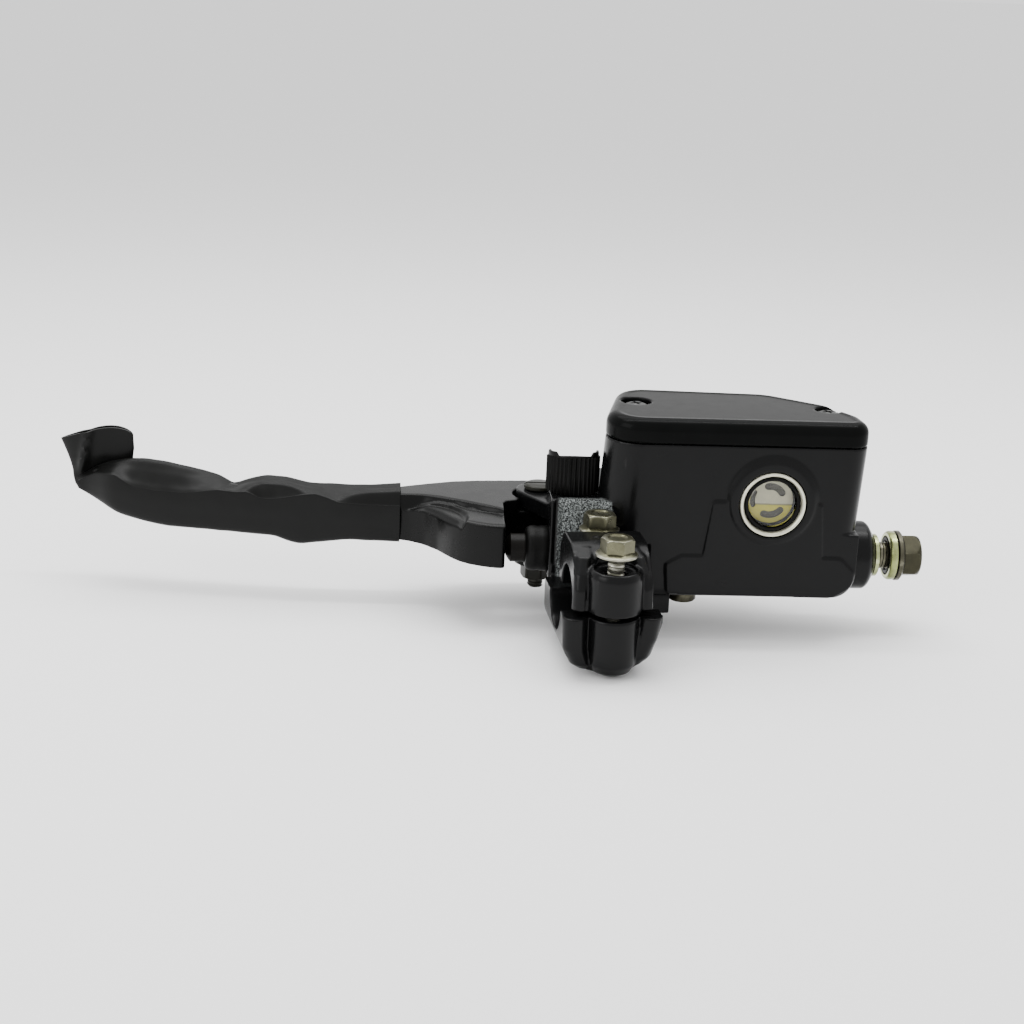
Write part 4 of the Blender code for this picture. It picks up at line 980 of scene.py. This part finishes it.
sleeve_rings = []
for x in stations:
    top_z, crease_z = smoothed(top_line, x, 1.0 + 3.0 * eased(abs(x + 132.6) / 8.0)), smoothed(crease_line,
        x, 2.0)
    low_z, y = smoothed(belly_line, x, 4.0), smoothed(middle_line, x, 8.0)
    slim = eased((x + 192.5) / 16.0)
    wide = 2.0 + 5.0 * slim
    crease_z = min(crease_z, top_z - 0.4)
    second = max(math.exp(-((x + 116.0) / 13.0) ** 4), eased((x + 96.0) / 14.0))
    hang = (low_z + crease_z) / 2
    outline = [(0.37 * wide, top_z), (0.98 * wide - 1.0, top_z - 0.22 * (top_z - low_z)), (wide, hang + 1.0),
               (0.86 * wide, low_z + 0.16 * (hang - low_z)), (0.1 * wide, low_z),
               (-0.78 * wide, low_z + 0.10 * (hang - low_z)), (-0.97 * wide, hang),
               (-0.97 * wide, crease_z - 1.2), (-0.91 * wide, crease_z),
               (-0.62 * wide, crease_z + (0.25 + 0.5 * second) * (top_z - crease_z)),
               (-0.15 * wide, crease_z + (0.68 + 0.24 * second) * (top_z - crease_z))]
    ring = []
    for point in closed_spline(outline, sides_round):
        place = Vector((x, y + point.x, point.y))
        outward = Vector((0, point.x, point.y - hang)).normalized()
        ripple = 0.28 * noise.noise(place * 0.07) + 0.10 * noise.noise(place * 0.22)
        ring.append(place + outward * ripple * min(1.0, (abs(x + 72.0) + 0.5) / 10.0))
    sleeve_rings.append(ring)

# the turned-up end: (left x, z), (right x, z), half thickness, rise of the middle, y
flare = (((-192.3, 14.4), (-188.8, 15.4), 1.9, 0.0, 74.6), ((-193.0, 16.4), (-187.2, 16.6), 1.7, 0.1, 75.4),
         ((-193.4, 19.3), (-183.5, 18.4), 1.7, 0.3, 76.2), ((-194.2, 22.0), (-177.0, 20.4), 1.8, 0.8, 76.8),
         ((-195.2, 24.8), (-171.2, 22.8), 2.0, 1.6, 77.2), ((-196.4, 27.8), (-170.6, 27.4), 2.2, 2.6, 77.4),
         ((-197.6, 30.8), (-170.8, 32.6), 2.3, 3.4, 77.4))
fine_flare = []
for low, high in zip(flare, flare[1:]):
    for step in range(4):
        t = step / 4
        fine_flare.append([Vector((*low[0], *low[1])).lerp(Vector((*high[0], *high[1])), t),
                           *(a + (b - a) * t for a, b in zip(low[2:], high[2:]))])
fine_flare.append([Vector((*flare[-1][0], *flare[-1][1])), *flare[-1][2:]])
for corners, thick, bulge, y in fine_flare:
    ring = []
    lean = eased((corners[1] - 16.0) / 8.0)
    for step in range(sides_round):
        # the loop starts at the tube's top, which becomes the right edge, and goes round by the far side
        angle = 2 * math.pi * (step + 1.5) / sides_round
        across = (1 - math.cos(angle)) / 2
        x = corners[2] + (corners[0] - corners[2]) * across
        z = corners[3] + (corners[1] - corners[3]) * across + bulge * math.sin(math.pi * across ** 0.7) ** 0.9
        fold = 2.3 * math.exp(-((x + 189.0 - 0.2 * (z - 24.0)) / 1.7) ** 2) * lean
        swell = 0.9 * lean * math.sin(2 * math.pi * across)
        depth = thick * math.sin(angle) - fold * (1 if math.sin(angle) < 0 else 0.6)
        ring.append(Vector((x, y + depth + swell, z)))
    sleeve_rings.append(ring)
sleeve = solid("vinyl_sleeve", loft(sleeve_rings, capped=False))
shell = sleeve.modifiers.new("wall", "SOLIDIFY")
shell.thickness = 0.9 * MM
shell.offset = -1.0
settle(sleeve)
machined(sleeve, 60)
vinyl = finish("soft_black_vinyl", (0.0026, 0.0027, 0.0025), 0.37, patch=(14.0, 0.12), grain_size=0.6,
               gloss_spread=0.16, Specular_IOR_Level=0.13)
fit(sleeve, "lever", "lever_sleeve", vinyl)


# ---- Piston and its seals -------------------------------------------------------------------------
# The lever's cam pushes a domed steel piece against the piston, which carries two rubber cups along
# the bore. A spring returns it, and a washer and a circlip in the bore's mouth keep it in.

dome = [(7.0 * math.sin(a), cam_face + 0.3 + 7.0 * (1 - math.cos(a)))
        for a in (math.asin(4.9 / 7.0) * step / 12 for step in range(13))]
brown_steel = finish("browned_steel", (0.0042, 0.0037, 0.0029), 0.4, 0.0, patch=(3.0, 0.2),
                     Specular_IOR_Level=0.1)
for name, cad_node, slot, finish_used, angle, profile in (
        ("push_pin", "push_piece", "spring_steel", brown_steel, 40,
         [*dome, (5.1, cam_face + 2.5), (5.1, -24.3), (4.8, -24.0), (0, -24.0)]),
        ("bore_piston", "piston", "alloy", alloy, 35,
         [(0, -23.7), (4.1, -23.7), (4.4, -23.4), (4.4, -11.6), (6.3, -11.6), (6.6, -11.3), (6.6, -8.2),
          (4.2, -8.2), (4.2, -3.4), (6.6, -3.4), (6.6, -1.0), (4.6, 0.6), (4.6, 17.0), (6.6, 18.0),
          (6.6, 19.8), (6.4, 20.0), (3.4, 20.0), (3.4, 24.8), (3.2, 25.0), (0, 25.0)]),
        ("rear_cup", "secondary_cup", "black_rubber", rubber, 50,
         [(4.5, -7.9), (6.5, -7.9), (6.7, -7.6), (6.5, -6.4), (6.7, -4.0), (6.3, -3.7), (5.6, -5.0),
          (4.5, -5.0)]),
        ("front_cup", "primary_cup", "black_rubber", rubber, 50,
         [(3.7, 20.3), (6.5, 20.3), (6.6, 22.0), (6.75, 24.0), (6.5, 24.2), (5.8, 24.2), (5.4, 22.2),
          (5.0, 21.6), (3.7, 21.6)]),
        ("spring_cap", "spring_seat", "spring_steel", steel, 35,
         [(0, 25.3), (5.7, 25.3), (5.9, 25.5), (5.9, 26.0), (5.7, 26.2), (2.6, 26.2), (2.6, 28.7),
          (2.3, 29.0), (0, 29.0)])):
    fit(lathed(name, profile, "X", bore, 72, angle), "piston", cad_node, finish_used)

wire_radius, coil_radius, coils = 0.65, 4.6, 9
coil_start, coil_end = 27.3, 82.8
rings = []
for step in range(coils * 40 + 1):
    share = step / (coils * 40)
    angle = 2 * math.pi * coils * share
    outward = Vector((0, math.cos(angle), math.sin(angle)))
    closing = 0.5 - 0.5 * math.cos(math.pi * share)
    middle = Vector((coil_start + (coil_end - coil_start) * (0.35 * closing + 0.65 * share), *bore))
    middle += outward * coil_radius
    rings.append([middle + outward * (wire_radius * math.cos(a)) + Vector((wire_radius * math.sin(a), 0, 0))
                  for a in (math.pi * side / 6 for side in range(12))])
spring = machined(solid("coil_spring", loft(rings)), 60)
fit(spring, "cylinder", "return_spring", steel)
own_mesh(spring)

refinish(steel, "stop_washer", "circlip")
boot = lathed("rubber_boot", [
    (5.6, -25.4), (6.2, -25.4), (7.0, -25.1), (7.7, -24.4), (8.1, -23.4), (8.2, -22.0), (8.0, -20.6),
                              (8.2, -19.4),
    (8.3, -17.6), (8.1, -17.15), (6.7, -17.1), (6.6, -17.4), (6.6, -23.0), (6.2, -23.7), (5.6, -23.9)], "X",
              bore, 96, 50)
fit(boot, "cylinder", "dust_boot", rubber)
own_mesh(boot)


# ---- Brake light switch ---------------------------------------------------------------------------
# A moulded switch screwed on behind the pivot. The lever's tail holds its brass plunger in at rest,
# and two flat terminals stand out of it for the wires.

switch_back, switch_screw_at = 68.0, (6.6, 9.0)
case = assembled("switch_case", [
    prism(rounded([(-5.8, switch_back, 0.4), (14.2, switch_back, 0.4), (14.2, switch_back + 11, 1.5),
                   (-5.8, switch_back + 11, 1.5)]), 1.5, 13.0),
    rod(4.2, switch_back + 9, switch_back + 11.0, "Y", switch_screw_at, 48)],
    [rod(2.4, -8.0, 0.6, "X", (73.0, 7.2), 48),
     rod(2.0, switch_back - 1, switch_back + 12, "Y", switch_screw_at, 48),
     *(prism(rectangle(left, switch_back + 2, left + 0.8, switch_back + 12), 12.5, 14.0)
       for left in (-4.6, 11.8))])
soft = case.modifiers.new("edges", "BEVEL")
soft.width = 0.35 * MM
soft.segments = 3
soft.limit_method = "ANGLE"
settle(case)
fit(machined(case), "cylinder", "brake_switch_body", nylon)
refinish(brass, "switch_plunger", "switch_terminal_upper", "switch_terminal_lower")
head_y = switch_back + 11.3
switch_screw = assembled("switch_screw_m4", [post([(1.7, switch_back - 7), (1.7, head_y), (3.3, head_y),
                                                   (3.4, head_y + 0.2), (3.2, head_y + 1.3),
                                                   (2.6, head_y + 1.7), (1.8, head_y + 1.9)], "Y",
                                                  switch_screw_at, 48)],
    [prism([(switch_screw_at[0] + x, switch_screw_at[1] + z) for x,
            z in rectangle(-across, -tall, across, tall)],
           head_y + 0.9, head_y + 3, "Y") for across, tall in ((2.0, 0.4), (0.4, 2.0))])
fit(machined(switch_screw), "cylinder", "switch_screw", black_oxide)


# ---- Stage ----------------------------------------------------------------------------------------
# A pale floor under soft studio lights, and the camera a little above the handlebar's height.

floor_z = cad_box[0].z - 0.0006
reach = 60000.0  # far enough for the floor to run on to the horizon
floor = solid("floor", prism(rectangle(-reach, -reach, reach, reach), floor_z / MM - 10, floor_z / MM))
pale = bpy.data.materials.new("pale_floor")
pale.use_nodes = True
pale.node_tree.nodes["Principled BSDF"].inputs["Base Color"].default_value = (0.93, 0.93, 0.93, 1)
pale.node_tree.nodes["Principled BSDF"].inputs["Roughness"].default_value = 0.8
floor.data.materials.append(pale)

world = bpy.data.worlds.new("studio")
bpy.context.scene.world = world
world.use_nodes = True
world.node_tree.nodes["Background"].inputs["Color"].default_value = (1, 1, 1, 1)
world.node_tree.nodes["Background"].inputs["Strength"].default_value = 1.35


def softbox(name, place, aim, size, power):
    lamp = bpy.data.lights.new(name, "AREA")
    lamp.shape = "RECTANGLE"
    lamp.size, lamp.size_y = size
    lamp.energy = power
    made = bpy.data.objects.new(name, lamp)
    bpy.context.scene.collection.objects.link(made)
    made.location = place
    made.rotation_euler = (Vector(aim) - Vector(place)).to_track_quat("-Z", "Y").to_euler()


softbox("overhead", (0.0, 0.25, 0.75), (-0.03, 0.04, 0.0), (1.0, 0.7), 7.0)
softbox("strip", (0.0, 0.1, 0.7), (0.0, 0.04, 0.0), (1.0, 0.05), 3.0)
softbox("left_fill", (-0.7, -0.35, 0.4), (-0.03, 0.04, 0.0), (0.5, 0.5), 3.0)

# the camera looks 3.5 degrees off the +Y axis and 17 degrees down, rolled 2.3 degrees
azimuth, elevation, roll = (math.radians(angle) for angle in (3.5, 17.0, 2.3))
focal, sensor, distance = 61.49, 36.0, 0.6
handlebar_offset = (0.0523, -0.04803)
ahead = Vector((math.sin(azimuth) * math.cos(elevation), math.cos(azimuth) * math.cos(elevation),
                -math.sin(elevation)))
level = Vector((math.cos(azimuth), -math.sin(azimuth), 0))
upward = level.cross(ahead)
right_axis = level * math.cos(roll) + upward * math.sin(roll)
up_axis = upward * math.cos(roll) - level * math.sin(roll)
lens = bpy.data.cameras.new("camera")
lens.lens, lens.sensor_width = focal, sensor
camera = bpy.data.objects.new("camera", lens)
bpy.context.scene.collection.objects.link(camera)
bpy.context.scene.camera = camera
placed = Matrix((right_axis, up_axis, -ahead)).transposed().to_4x4()
placed.translation = -distance * (ahead + right_axis * handlebar_offset[0] + up_axis * handlebar_offset[1])
camera.matrix_world = placed
